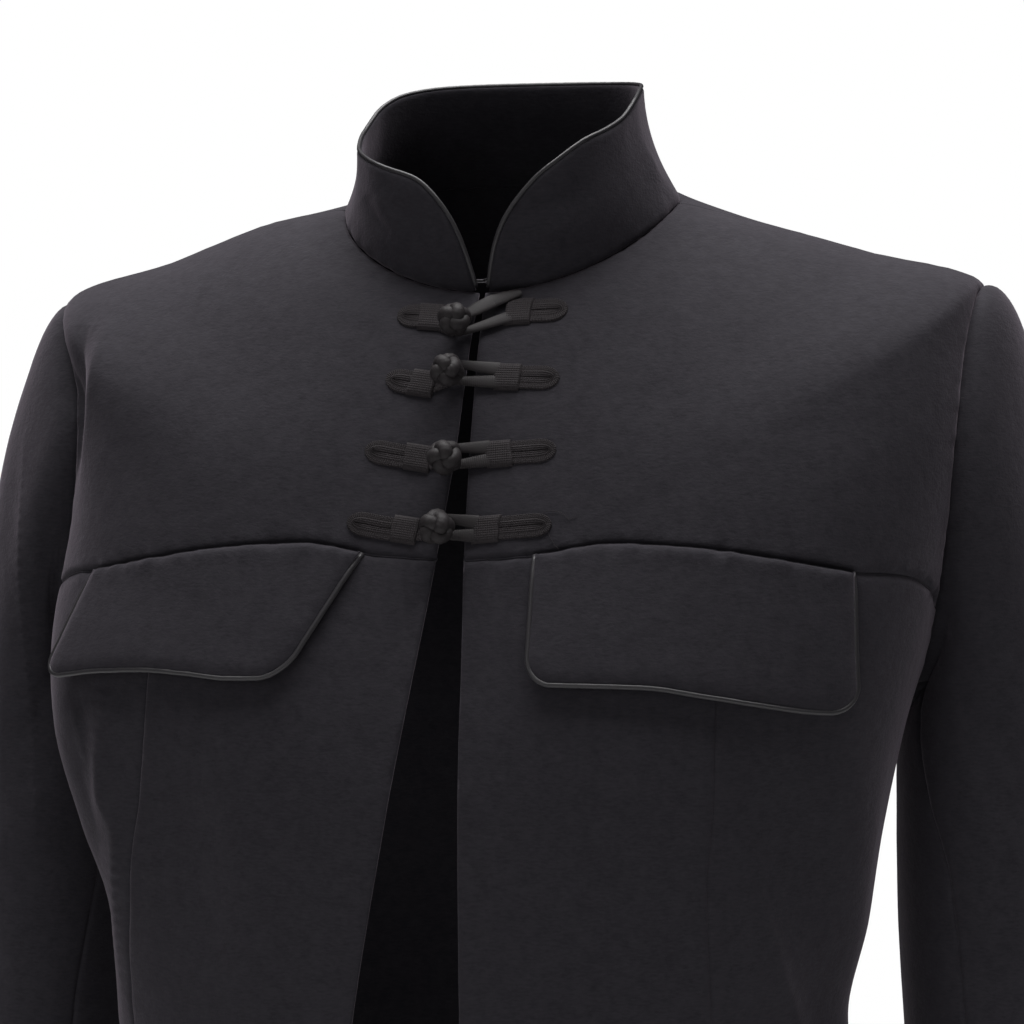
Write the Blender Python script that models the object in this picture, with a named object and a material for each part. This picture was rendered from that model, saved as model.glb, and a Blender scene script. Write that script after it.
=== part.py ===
"""Mandarin collar jacket with frog fastenings, as worn: cloth walls round an empty figure.

Metres, +Z up, -Y is the jacket's front and +X the wearer's left. The origin is the middle of the neck
opening, level with the points where the shoulder seams meet the collar: the jacket hangs from there.

Every cloth piece is cut like a pattern piece. Its outline is drawn on a flat sheet, the sheet is laid
over a curved form (torso, sleeve or collar), and the wall gets its thickness along the form's normals.
"""

import math

import bpy
import numpy as np
from mathutils import Vector
from mathutils.geometry import delaunay_2d_cdt

# Driving dimensions
CLOTH = 0.0020
COLLAR_CLOTH = 0.0026
FLAP_CLOTH = 0.0028
SEAM_GAP = 0.0004
CREASED_SEAM_GAP = 0.0012
REST_GAP = 0.0003
PIPING_RADIUS = 0.0012
WIRE_RADIUS = 0.00045
COLLAR_EDGE_X = 0.0031
HEM_DROP = 0.675
ARMHOLE_TOP_DROP = 0.130
ARMHOLE_BOTTOM_DROP = 0.280
ARMHOLE_PULL = {"left": 0.0, "right": 3.0}
SLEEVE_CAP_LENGTH = 0.140
CUFF_Z = -0.605

SIGN = {"left": 1, "right": -1}

# How many metres of flat sheet one radian takes on each form
TORSO_SPREAD = 0.155
SLEEVE_SPREAD = 0.053
COLLAR_SPREAD = 0.066

# Mesh spacing of the flat sheets, across and along
TORSO_STEP = (0.020, 0.027)
SLEEVE_STEP = (0.0145, 0.033)
SLEEVE_HEAD_CROWD = 0.07
COLLAR_STEP = (0.011, 0.012)
FLAP_STEP = (0.016, 0.014)
TAPE_STEP = (0.008, 0.008)

ARMHOLE_POINTS = 36
YOKE_POINT = 12
UNDERARM_POINT = 18
SLEEVE_FRONT_SEAM_POINT = 15
SLEEVE_BACK_SEAM_POINT = 25

# Rings of the torso form, from the neck seam down. z_ and y_ columns give the ring's height and its
# reach at the centre front, at the wearer's left and right side and at the centre back; wide_ is its
# half width to the wearer's left and right. A square above 2 is boxier than an ellipse, ridge rounds
# the shoulder line, and tilt slopes the ring from back to front near the sides.
RING_COLUMNS = (
    "drop", "z_front", "z_left", "z_right", "z_back", "wide_left", "wide_right",
    "y_side", "y_front", "y_back", "square_front", "square_back", "ridge", "tilt",
)
TORSO_RINGS = (
    (0.000, -0.0417, -0.0010, -0.0015, 0.0130, 0.0735, 0.0735, 0.000, -0.0575, 0.058, 2.0, 2.0, 0.30, 0.25),
    (0.030, -0.0640, -0.0090, -0.0058, -0.0060, 0.1040, 0.1040, 0.004, -0.0720, 0.075, 2.0, 2.0, 0.25, 0.12),
    (0.080, -0.1050, -0.0225, -0.0228, -0.0420, 0.1530, 0.1530, 0.008, -0.0890, 0.093, 2.1, 2.1, 0.20, 0.03),
    (0.130, -0.1480, -0.0385, -0.0405, -0.0850, 0.2015, 0.2015, 0.012, -0.1030, 0.104, 2.3, 2.3, 0.15, 0.00),
    (0.160, -0.1720, -0.0720, -0.0720, -0.1150, 0.2015, 0.1920, 0.008, -0.1100, 0.107, 2.5, 2.4, 0.20, 0.00),
    (0.200, -0.2010, -0.1200, -0.1200, -0.1560, 0.1965, 0.1895, 0.000, -0.1180, 0.108, 2.6, 2.4, 0.30, 0.00),
    (0.245, -0.2310, -0.1750, -0.1750, -0.2020, 0.1860, 0.1925, -0.018, -0.1240, 0.104, 2.6, 2.2, 0.50, 0.00),
    (0.285, -0.2540, -0.2220, -0.2220, -0.2390, 0.1735, 0.1865, -0.034, -0.1262, 0.097, 2.6, 2.0, 0.80, 0.00),
    (0.325, -0.2830, -0.2650, -0.2650, -0.2730, 0.1645, 0.1745, -0.036, -0.1262, 0.089, 2.5, 2.0, 0.80, 0.00),
    (0.362, -0.3140, -0.3040, -0.3040, -0.3080, 0.1575, 0.1625, -0.033, -0.1254, 0.082, 2.5, 2.0, 0.80, 0.00),
    (0.400, -0.3500, -0.3450, -0.3450, -0.3470, 0.1470, 0.1635, -0.026, -0.1240, 0.075, 2.4, 2.0, 0.80, 0.00),
    (0.455, -0.4020, -0.4000, -0.4000, -0.4000, 0.1470, 0.1590, -0.018, -0.1230, 0.071, 2.3, 2.0, 0.80, 0.00),
    (0.535, -0.4800, -0.4800, -0.4800, -0.4800, 0.1620, 0.1640, -0.014, -0.1245, 0.086, 2.3, 2.1, 0.80, 0.00),
    (0.615, -0.5600, -0.5600, -0.5600, -0.5600, 0.1760, 0.1760, -0.011, -0.1280, 0.101, 2.3, 2.1, 0.80, 0.00),
    (0.675, -0.6200, -0.6200, -0.6200, -0.6200, 0.1840, 0.1840, -0.010, -0.1310, 0.108, 2.3, 2.1, 0.80, 0.00),
)
RING = {name: np.array(values) for name, values in zip(RING_COLUMNS, zip(*TORSO_RINGS))}

# Soft vertical folds of the torso: angle from the centre front (wearer's left positive) and half width
# in degrees, the stretch of drop that the fold runs over, and how far it stands out of the form.
FOLD_COLUMNS = ("angle", "angle_below", "half_width", "from_drop", "to_drop", "height")
TORSO_FOLDS = (
    (-78.0, -66.0, 9.0, 0.215, 0.420, 0.0060),
    (-60.0, -54.0, 8.0, 0.235, 0.400, -0.0040),
    (68.0, 74.0, 10.0, 0.240, 0.470, -0.0045),
    (88.0, 84.0, 9.0, 0.300, 0.560, 0.0035),
    (30.0, 24.0, 13.0, 0.420, 0.700, 0.0040),
    (-34.0, -30.0, 13.0, 0.430, 0.700, 0.0045),
    (140.0, 150.0, 12.0, 0.330, 0.560, 0.0040),
    (-142.0, -150.0, 12.0, 0.340, 0.560, 0.0035),
)

# Rings of the sleeve form below the cap; out_ is the middle's distance from the jacket's own middle
ARM_COLUMNS = ("z", "out_left", "out_right", "y", "half_width", "half_depth", "slope")
ARM_RINGS = (
    (-0.250, 0.2035, 0.2125, 0.034, 0.0405, 0.0600, 0.00),
    (-0.300, 0.2040, 0.2125, 0.034, 0.0405, 0.0585, 0.02),
    (-0.355, 0.2070, 0.2125, 0.030, 0.0402, 0.0560, 0.06),
    (-0.420, 0.2115, 0.2140, 0.019, 0.0385, 0.0520, 0.12),
    (-0.520, 0.2170, 0.2180, -0.004, 0.0368, 0.0470, 0.20),
    (CUFF_Z, 0.2255, 0.2255, -0.026, 0.0355, 0.0430, 0.24),
)
ARM = {name: np.array(values) for name, values in zip(ARM_COLUMNS, zip(*ARM_RINGS))}

# Soft folds across the sleeve: where round it (degrees from its top edge, front positive), how far down
# from the armhole, half width round and along, and how far the fold stands out.
SLEEVE_FOLD_COLUMNS = ("angle", "down", "half_round", "half_along", "height")
SLEEVE_FOLDS = (
    (80.0, 0.275, 55.0, 0.014, 0.0030),
    (110.0, 0.305, 50.0, 0.012, -0.0030),
    (95.0, 0.335, 60.0, 0.013, 0.0028),
    (-100.0, 0.250, 45.0, 0.018, -0.0022),
)

# How the sleeve leaves the armhole: direction (out, forward, up) and pull, by angle from the top.
# The sleeve head of the raised shoulder rises more.
HEAD_RISE = {"left": 0.50, "right": 0.10}
HEAD_PULL = {"left": 1.00, "right": 0.94}
CAP_COLUMNS = ("angle", "out", "forward", "up", "pull")
CAP_LEAVES = (
    (0.0, 1.00, 0.00, 0.00, 0.082),
    (45.0, 0.94, 0.32, -0.05, 0.070),
    (90.0, 0.85, 0.50, -0.15, 0.052),
    (135.0, 0.84, 0.32, -0.38, 0.040),
    (180.0, 0.72, 0.00, -0.60, 0.034),
    (225.0, 0.80, -0.32, -0.45, 0.036),
    (270.0, 0.85, -0.50, -0.15, 0.052),
    (315.0, 0.94, -0.32, -0.05, 0.070),
    (360.0, 1.00, 0.00, 0.00, 0.082),
)
CAP = {name: np.array(values) for name, values in zip(CAP_COLUMNS, zip(*CAP_LEAVES))}

# Front edges: the left front hangs straight and the right front swings away from it
EDGE_COLUMNS = ("z", "left_x", "right_x")
FRONT_EDGES = (
    (-0.0417, 0.0012, -0.0012),
    (-0.1000, 0.0018, -0.0032),
    (-0.1530, 0.0028, -0.0085),
    (-0.2100, 0.0048, -0.0165),
    (-0.3400, 0.0055, -0.0390),
    (-0.4500, 0.0070, -0.0560),
    (-0.6200, 0.0100, -0.0760),
)
EDGE = {name: np.array(values) for name, values in zip(EDGE_COLUMNS, zip(*FRONT_EDGES))}

# Yoke seam: height above each x, and the panel seam that runs from it to the hem
YOKE_COLUMNS = ("x", "z")
YOKE_SEAM = (
    (0.000, -0.1535),
    (0.034, -0.1510),
    (0.065, -0.1465),
    (0.100, -0.1485),
    (0.135, -0.1535),
    (0.162, -0.1585),
)
YOKE = {name: np.array(values) for name, values in zip(YOKE_COLUMNS, zip(*YOKE_SEAM))}
PANEL_COLUMNS = ("z", "left_x", "right_x")
PANEL_SEAMS = (
    (-0.1400, 0.1100, -0.1270),
    (-0.2130, 0.1084, -0.1311),
    (-0.2490, 0.1075, -0.1345),
    (-0.2860, 0.1045, -0.1405),
    (-0.3350, 0.1052, -0.1443),
    (-0.4600, 0.1070, -0.1450),
    (-0.6200, 0.1130, -0.1500),
)
PANEL = {name: np.array(values) for name, values in zip(PANEL_COLUMNS, zip(*PANEL_SEAMS))}

# Pocket flaps: x of the corners at the yoke seam and at the foot, the foot's height by share of the
# width from the inner end, and how far the inner and outer ends of the foot stand off the front
FLAP_CORNER = 0.0095
FLAP_LIFT = 0.0009
FLAP_PLACES = {
    "left": {"top": (0.0334, 0.1590), "foot": (0.0340, 0.1575), "stand": (0.0035, 0.0045)},
    "right": {"top": (-0.0400, -0.1600), "foot": (-0.0690, -0.1760), "stand": (0.0040, 0.0065)},
}
FLAP_FOOT_COLUMNS = ("share", "left_z", "right_z")
FLAP_FOOT = (
    (0.00, -0.2030, -0.2012),
    (0.20, -0.2032, -0.2016),
    (0.38, -0.2036, -0.1998),
    (0.56, -0.2065, -0.1985),
    (0.75, -0.2103, -0.1995),
    (0.90, -0.2125, -0.2020),
    (1.00, -0.2127, -0.2038),
)
FOOT = {name: np.array(values) for name, values in zip(FLAP_FOOT_COLUMNS, zip(*FLAP_FOOT))}

# Frog fastenings from the neck down: x and z of the tape's tip, band and knot on the right front, then
# of the band and the tip on the left front
FROG_COLUMNS = (
    "right_tip_x", "right_tip_z", "right_band_x", "right_band_z", "knot_x", "knot_z",
    "left_band_x", "left_band_z", "left_tip_x", "left_tip_z",
)
FROGS = (
    (-0.0350, -0.0515, -0.0198, -0.0526, -0.0068, -0.0574, 0.0170, -0.0507, 0.0376, -0.0497),
    (-0.0362, -0.0783, -0.0200, -0.0806, -0.0074, -0.0770, 0.0156, -0.0782, 0.0375, -0.0788),
    (-0.0420, -0.1080, -0.0193, -0.1115, -0.0052, -0.1120, 0.0147, -0.1100, 0.0388, -0.1082),
    (-0.0468, -0.1375, -0.0222, -0.1410, -0.0065, -0.1402, 0.0118, -0.1407, 0.0390, -0.1385),
)
TAPE_WIDTH = 0.0100
TAPE_THICK = 0.0012
BAND_WIDTH = 0.0112
BAND_SPAN = 0.0112
LOOP_RADIUS = 0.0011
LOOP_BEND = 0.0038
LOOP_END_GAP = 0.0015
KNOT_RADIUS = 0.0064
KNOT_NECK = 0.0013
KNOT_NECK_LENGTH = 0.0040
KNOT_DROOP = 0.50

MATERIALS = {
    "wool": ((0.013, 0.013, 0.015), 0.85, 0.0),
    "satin": ((0.010, 0.010, 0.011), 0.35, 0.0),
    "braid": ((0.014, 0.012, 0.013), 0.60, 0.0),
    "hook_metal": ((0.020, 0.020, 0.022), 0.35, 1.0),
}


def clear_scene():
    for obj in list(bpy.data.objects):
        bpy.data.objects.remove(obj)


def make_material(name):
    colour, roughness, metallic = MATERIALS[name]
    material = bpy.data.materials.new(name)
    material.use_nodes = True
    shader = material.node_tree.nodes["Principled BSDF"]
    shader.inputs["Base Color"].default_value = (*colour, 1.0)
    shader.inputs["Roughness"].default_value = roughness
    shader.inputs["Metallic"].default_value = metallic
    return material


def smooth(xs, ys, x):
    """A curve through the table's points that never overshoots them, held level past both ends."""
    steps = np.diff(xs)
    slopes = np.diff(ys) / steps
    same_way = slopes[:-1] * slopes[1:] > 0
    total = np.where(same_way, slopes[:-1] + slopes[1:], 1.0)
    inner = np.where(same_way, 2 * slopes[:-1] * slopes[1:] / total, 0.0)
    tangents = np.concatenate([slopes[:1], inner, slopes[-1:]])
    x = np.clip(x, xs[0], xs[-1])
    i = np.clip(np.searchsorted(xs, x, side="right") - 1, 0, len(steps) - 1)
    t = (x - xs[i]) / steps[i]
    rise = tangents[i] * steps[i] * t * (1 - t) ** 2 - tangents[i + 1] * steps[i] * t * t * (1 - t)
    return ys[i] * (1 + 2 * t) * (1 - t) ** 2 + ys[i + 1] * t * t * (3 - 2 * t) + rise


def from_z(table, column, z):
    """A table whose z runs downwards, read at a height."""
    return smooth(-table["z"], table[column], -np.asarray(z, float))


def torso(sheet):
    """Points of the torso form for flat points (across, up); across is 0 at the centre front."""
    sheet = np.asarray(sheet, float)
    drop = np.clip(-sheet[:, 1], 0.0, HEM_DROP)
    angle = sheet[:, 0] / TORSO_SPREAD
    ring = {name: smooth(RING["drop"], RING[name], drop) for name in RING_COLUMNS[1:]}
    ahead = np.cos(angle)
    front = ahead > 0
    square = np.where(front, ring["square_front"], ring["square_back"])
    depth = np.where(front, ring["y_side"] - ring["y_front"], ring["y_back"] - ring["y_side"])
    on_left = np.sin(angle) > 0
    wide = np.where(on_left, ring["wide_left"], ring["wide_right"])
    z_side = np.where(on_left, ring["z_left"], ring["z_right"])
    reach = np.abs(ahead / depth) ** square + np.abs(np.sin(angle) / wide) ** square
    radius = reach ** (-1 / square) + fold_height(np.degrees(angle), drop)
    x = radius * np.sin(angle)
    y = ring["y_side"] - radius * ahead
    ridge = ring["ridge"]
    shape = (np.sqrt(ahead**2 + ridge**2) - ridge) / (np.sqrt(1 + ridge**2) - ridge)
    z_end = np.where(front, ring["z_front"], ring["z_back"])
    z = z_side + (z_end - z_side) * shape
    z += ring["tilt"] * (y - ring["y_side"]) * (1 - np.abs(ahead))
    return np.column_stack([x, y, z])


def fold_height(angle, drop):
    height = np.zeros_like(drop)
    for row in TORSO_FOLDS:
        fold = dict(zip(FOLD_COLUMNS, row))
        share = np.clip((drop - fold["from_drop"]) / (fold["to_drop"] - fold["from_drop"]), 0, 1)
        centre = fold["angle"] + (fold["angle_below"] - fold["angle"]) * share
        across = np.exp(-(((angle - centre) / fold["half_width"]) ** 2))
        height += fold["height"] * across * np.sin(math.pi * share) ** 2
    return height


def armhole(turn, side):
    """Flat torso points of an armhole; turn is 0 at its top, a quarter at its front."""
    turn = np.atleast_1d(np.asarray(turn, float))
    middle = (ARMHOLE_TOP_DROP + ARMHOLE_BOTTOM_DROP) / 2
    half = (ARMHOLE_BOTTOM_DROP - ARMHOLE_TOP_DROP) / 2
    drop = middle - half * np.cos(turn)
    share = (drop - ARMHOLE_TOP_DROP) / (2 * half)
    centre = 90.0 + 16.0 * share**1.8
    degrees = np.degrees(turn) % 360.0
    pull = ARMHOLE_PULL[side] * np.exp(-(((degrees - 58.0) / 27.0) ** 2))
    half_angle = np.where(np.sin(turn) > 0, 14.5 + pull, 14.0)
    angle = np.radians(centre - half_angle * np.sin(turn))
    return np.column_stack([angle * TORSO_SPREAD * SIGN[side], -drop])


def arm_section(side, turn, z):
    ring = {name: from_z(ARM, name, z) for name in ARM_COLUMNS[1:]}
    out = ring["out_" + side] + ring["half_width"] * np.cos(turn)
    y = ring["y"] - ring["half_depth"] * np.sin(turn)
    return np.column_stack([out * SIGN[side], y, z + ring["slope"] * (y - ring["y"])])


def sleeve(side):
    """The form of one sleeve; flat across is the angle round it, down is the way from the armhole."""

    def form(sheet):
        sheet = np.asarray(sheet, float)
        turn = -sheet[:, 0] / SLEEVE_SPREAD * SIGN[side]
        down = np.maximum(-sheet[:, 1], 0.0)
        top_z = ARM["z"][0]
        t = np.clip(down / SLEEVE_CAP_LENGTH, 0.0, 1.0)[:, None]
        start = torso(armhole(turn, side))
        degrees = np.degrees(turn) % 360.0
        leave = {name: smooth(CAP["angle"], CAP[name], degrees) for name in CAP_COLUMNS[1:]}
        rise = leave["up"] + HEAD_RISE[side] * np.maximum(np.cos(turn), 0.0) ** 2
        away = np.column_stack([leave["out"] * SIGN[side], -leave["forward"], rise])
        away *= leave["pull"][:, None] * HEAD_PULL[side]
        end = arm_section(side, turn, np.full_like(turn, top_z))
        below = arm_section(side, turn, np.full_like(turn, top_z - 0.01))
        onward = (below - end) / 0.01 * SLEEVE_CAP_LENGTH
        cap = (
            start * (1 + 2 * t) * (1 - t) ** 2
            + away * t * (1 - t) ** 2
            + end * t * t * (3 - 2 * t)
            - onward * t * t * (1 - t)
        )
        arm = arm_section(side, turn, top_z - np.maximum(down - SLEEVE_CAP_LENGTH, 0.0))
        points = np.where(t < 1.0, cap, arm)
        round_arm = np.column_stack([np.cos(turn) * SIGN[side], -np.sin(turn), np.zeros_like(turn)])
        return points + round_arm * sleeve_folds(degrees, down)[:, None]

    return form


def sleeve_folds(degrees, down):
    height = np.zeros_like(down)
    for row in SLEEVE_FOLDS:
        fold = dict(zip(SLEEVE_FOLD_COLUMNS, row))
        away = (degrees - fold["angle"] + 180.0) % 360.0 - 180.0
        around = np.exp(-((away / fold["half_round"]) ** 2))
        along = np.exp(-(((down - fold["down"]) / fold["half_along"]) ** 2))
        height += fold["height"] * around * along
    return height


# Top edge of the collar round the neck, from the centre front to the wearer's left (positive) and right
RIM_COLUMNS = ("degrees", "x", "y", "z")
COLLAR_RIM = (
    (-170.0, -0.0120, 0.0305, 0.0535),
    (-145.0, -0.0380, 0.0240, 0.0520),
    (-122.0, -0.0545, 0.0105, 0.0470),
    (-105.0, -0.0610, -0.0040, 0.0380),
    (-90.0, -0.0622, -0.0200, 0.0285),
    (-75.0, -0.0600, -0.0360, 0.0210),
    (-60.0, -0.0535, -0.0500, 0.0158),
    (-45.0, -0.0440, -0.0605, 0.0112),
    (-22.0, -0.0235, -0.0680, 0.0045),
    (0.0, 0.0000, -0.0705, -0.0022),
    (22.0, 0.0240, -0.0680, 0.0050),
    (45.0, 0.0435, -0.0600, 0.0198),
    (60.0, 0.0520, -0.0480, 0.0258),
    (75.0, 0.0572, -0.0340, 0.0325),
    (90.0, 0.0592, -0.0190, 0.0415),
    (105.0, 0.0585, -0.0030, 0.0480),
    (122.0, 0.0530, 0.0105, 0.0505),
    (145.0, 0.0375, 0.0240, 0.0525),
    (170.0, 0.0120, 0.0305, 0.0535),
)
RIM = {name: np.array(values) for name, values in zip(RIM_COLUMNS, zip(*COLLAR_RIM))}
RIM_ROUND = np.concatenate([RIM["degrees"] + turn for turn in (-360.0, 0.0, 360.0)])


def neck_seam(angle):
    return torso(np.column_stack([angle * TORSO_SPREAD, np.zeros(len(angle))]))


def rim(angle):
    """Points of the collar's full-height top edge; angle is 0 at the centre front."""
    degrees = (np.degrees(angle) + 180.0) % 360.0 - 180.0
    return np.column_stack([smooth(RIM_ROUND, np.tile(RIM[name], 3), degrees) for name in "xyz"])


def collar(sheet):
    """Points of the collar form; flat across is 0 at the centre back, up is the height on the seam."""
    sheet = np.asarray(sheet, float)
    angle = math.pi + sheet[:, 0] / COLLAR_SPREAD
    base, top = neck_seam(angle), rim(angle)
    share = sheet[:, 1] / (top[:, 2] - base[:, 2])
    eased = 1 - (1 - share) ** 2
    x = base[:, 0] + (top[:, 0] - base[:, 0]) * eased
    y = base[:, 1] + (top[:, 1] - base[:, 1]) * (0.35 * share + 0.65 * eased)
    return np.column_stack([x, y, base[:, 2] + sheet[:, 1]])


def normals(form, sheet):
    """Unit normals of a form, out of the cloth's right side."""
    step = 1e-4
    across = form(sheet + (step, 0)) - form(sheet - (step, 0))
    up = form(sheet + (0, step)) - form(sheet - (0, step))
    normal = np.cross(across, up)
    return normal / np.linalg.norm(normal, axis=1)[:, None]


def on_front(xz):
    """Flat torso points whose cloth lies at these x and z on the jacket's front."""
    xz = np.atleast_2d(np.asarray(xz, float))
    across, up = np.meshgrid(np.linspace(-0.22, 0.22, 45), np.linspace(-0.003, -0.67, 60))
    guesses = np.column_stack([across.ravel(), up.ravel()])
    apart = torso(guesses)[:, [0, 2]] - xz[:, None]
    sheet = guesses[np.argmin(np.sum(apart**2, axis=2), axis=1)]
    step = 1e-5
    for _ in range(14):
        here = torso(sheet)[:, [0, 2]]
        by_across = (torso(sheet + (step, 0))[:, [0, 2]] - here) / step
        by_up = (torso(sheet - (0, step))[:, [0, 2]] - here) / -step
        miss = here - xz
        scale = by_across[:, 0] * by_up[:, 1] - by_up[:, 0] * by_across[:, 1]
        move_across = (miss[:, 0] * by_up[:, 1] - by_up[:, 0] * miss[:, 1]) / scale
        move_up = (by_across[:, 0] * miss[:, 1] - miss[:, 0] * by_across[:, 1]) / scale
        sheet = sheet - np.clip(np.column_stack([move_across, move_up]), -0.02, 0.02)
        sheet[:, 1] = np.clip(sheet[:, 1], 2 * step - HEM_DROP, 0.0)
    return sheet


def area_of(outline):
    after = np.roll(outline, -1, axis=0)
    return 0.5 * np.sum(outline[:, 0] * after[:, 1] - after[:, 0] * outline[:, 1])


def joined(*runs):
    """One closed outline from runs of points whose ends meet, counter-clockwise."""
    points = np.concatenate([np.asarray(run) for run in runs])
    apart = np.linalg.norm(points - np.roll(points, 1, axis=0), axis=1) > 1e-6
    outline = points[apart]
    return outline if area_of(outline) > 0 else outline[::-1]


def inside(outline, points):
    after = np.roll(outline, -1, axis=0)
    x, y = points[:, :1], points[:, 1:]
    crosses = (outline[:, 1] > y) != (after[:, 1] > y)
    rise = np.where(after[:, 1] == outline[:, 1], 1.0, after[:, 1] - outline[:, 1])
    edge_x = outline[:, 0] + (y - outline[:, 1]) * (after[:, 0] - outline[:, 0]) / rise
    return np.sum(crosses & (x < edge_x), axis=1) % 2 == 1


def edge_distance(outline, points):
    run = np.roll(outline, -1, axis=0) - outline
    offset = points[:, None, :] - outline[None]
    share = np.clip(np.sum(offset * run, axis=2) / np.sum(run * run, axis=1), 0, 1)
    return np.linalg.norm(offset - share[:, :, None] * run, axis=2).min(axis=1)


def crowded(down, crowd):
    """Distance down the sheet, stretched near its top so that an even lattice crowds there."""
    return down + crowd * (1 - np.exp(-down / 0.03))


def cut(outline, step, crowd=0.0):
    """A flat pattern piece as triangles: the outline's points first, then a lattice inside it."""
    scale = np.array([1.0, step[0] / step[1]])
    flat = np.column_stack([outline[:, 0], -crowded(-outline[:, 1], crowd)]) * scale
    low, high = flat.min(axis=0), flat.max(axis=0)
    columns = np.arange(low[0] + step[0] / 2, high[0], step[0])
    rows = np.arange(low[1] + step[0] / 2, high[1], step[0] * 0.87)
    lattice = np.array([
        (x + (step[0] / 2 if i % 2 else 0.0), y) for i, y in enumerate(rows) for x in columns
    ]).reshape(-1, 2)
    if len(lattice):
        lattice = lattice[inside(flat, lattice)]
    if len(lattice):
        lattice = lattice[edge_distance(flat, lattice) > 0.55 * step[0]]
    points = np.concatenate([flat, lattice])
    found = delaunay_2d_cdt([Vector(p) for p in points], [], [list(range(len(flat)))], 1, 1e-9)
    source = [ids[0] for ids in found[3]]
    faces = [[source[i] for i in face] for face in found[2]]
    faces = [face if area_of(points[face]) > 0 else face[::-1] for face in faces]
    sheet = points / scale
    down = np.linspace(0.0, 0.7, 1401)
    sheet[:, 1] = -np.interp(-sheet[:, 1], crowded(down, crowd), down) if crowd else sheet[:, 1]
    sheet[:len(outline)] = outline
    return sheet, faces


def drawn_in(points, normal, count, gap):
    """The wall's points with its first count, the outline, moved half a seam gap into the piece."""
    rim = points[:count]
    before = rim - np.roll(rim, 1, axis=0)
    after = np.roll(rim, -1, axis=0) - rim
    inward_before = unit(np.cross(normal[:count], before))
    inward_after = unit(np.cross(normal[:count], after))
    both = unit(inward_before + inward_after)
    lean = np.maximum(np.sum(both * inward_after, axis=1), 0.5)[:, None]
    moved = points.copy()
    moved[:count] += both / lean * gap / 2
    return moved


def unit(vectors):
    return vectors / np.maximum(np.linalg.norm(vectors, axis=-1, keepdims=True), 1e-12)


def add_mesh(name, points, faces, material):
    mesh = bpy.data.meshes.new(name)
    mesh.from_pydata([tuple(p) for p in points], [], faces)
    mesh.validate()
    mesh.shade_smooth()
    mesh.set_sharp_from_angle(angle=math.radians(50))
    mesh.materials.append(MATERIAL[material])
    obj = bpy.data.objects.new(name, mesh)
    COLLECTION.objects.link(obj)
    return obj


def wall(name, form, outline, step, material, thick=CLOTH, gap=SEAM_GAP, lift=None, crowd=0.0):
    """A cloth piece: the outline cut from the form's sheet, its inner side thick below its outer."""
    sheet, faces = cut(outline, step, crowd)
    count = len(outline)
    normal = normals(form, sheet)
    inner_height = -thick if lift is None else lift(sheet)[:, None]
    outer_height = 0.0 if lift is None else inner_height + thick
    skin = drawn_in(form(sheet), normal, count, gap)
    points = np.concatenate([skin + normal * outer_height, skin + normal * inner_height])
    total = len(sheet)
    solid = [list(face) for face in faces]
    solid += [[i + total for i in face[::-1]] for face in faces]
    for i in range(count):
        after = (i + 1) % count
        solid.append([after, i, i + total, after + total])
    return add_mesh(name, points, solid, material)


def tube(name, path, radius, material, sides=1):
    """A round tube along a path of points: a bevelled curve with filled caps."""
    curve = bpy.data.curves.new(name, "CURVE")
    curve.dimensions = "3D"
    curve.bevel_depth = radius
    curve.bevel_resolution = sides
    curve.use_fill_caps = True
    spline = curve.splines.new("POLY")
    spline.points.add(len(path) - 1)
    for point, place in zip(spline.points, path):
        point.co = (*place, 1.0)
    curve.materials.append(MATERIAL[material])
    obj = bpy.data.objects.new(name, curve)
    COLLECTION.objects.link(obj)
    return obj


def between(start, end, count):
    return np.linspace(start, end, count + 1)


# Seam lines on the flat torso sheet; side is "left" or "right"
def edge_run(side, top_z, bottom_z, count):
    z = between(top_z, bottom_z, count)
    return on_front(np.column_stack([from_z(EDGE, side + "_x", z), z]))


def neck_corner(side):
    corner = edge_run(side, EDGE["z"][0], EDGE["z"][0] - 0.001, 1)[0]
    return np.array([corner[0], 0.0])


def neck_run(side, count):
    """Along the neck seam from the centre front to the shoulder seam."""
    start = neck_corner(side)[0]
    side_angle = math.copysign(math.pi / 2, start) * TORSO_SPREAD
    return np.column_stack([between(start, side_angle, count), np.zeros(count + 1)])


def back_neck_run(side, count):
    across = between(math.pi / 2, math.pi, count) * TORSO_SPREAD * SIGN[side]
    return np.column_stack([across, np.zeros(count + 1)])


def shoulder_run(side, count):
    drop = between(0.0, ARMHOLE_TOP_DROP, count)
    return np.column_stack([np.full(count + 1, math.pi / 2 * TORSO_SPREAD * SIGN[side]), -drop])


def armhole_run(side, first, last):
    return armhole(np.arange(first, last + 1) * 2 * math.pi / ARMHOLE_POINTS, side)


def side_run(side, count):
    across = armhole(math.pi, side)[0, 0]
    drop = between(ARMHOLE_BOTTOM_DROP, HEM_DROP, count)
    return np.column_stack([np.full(count + 1, across), -drop])


def yoke_run(side, from_x, to_x, count):
    x = between(from_x, to_x, count)
    return on_front(np.column_stack([x, smooth(YOKE["x"], YOKE["z"], x * SIGN[side])]))


def panel_run(side, count):
    top_x = PANEL[side + "_x"][0]
    top_z = smooth(YOKE["x"], YOKE["z"], np.array([abs(top_x)]))[0]
    z = between(top_z, PANEL["z"][-1], count)
    run = on_front(np.column_stack([from_z(PANEL, side + "_x", z), z]))
    run[0] = yoke_run(side, top_x, top_x, 0)[0]
    run[-1, 1] = -HEM_DROP
    return run


def hem_run(start, end, count):
    return np.column_stack([between(start[0], end[0], count), np.full(count + 1, -HEM_DROP)])


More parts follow.
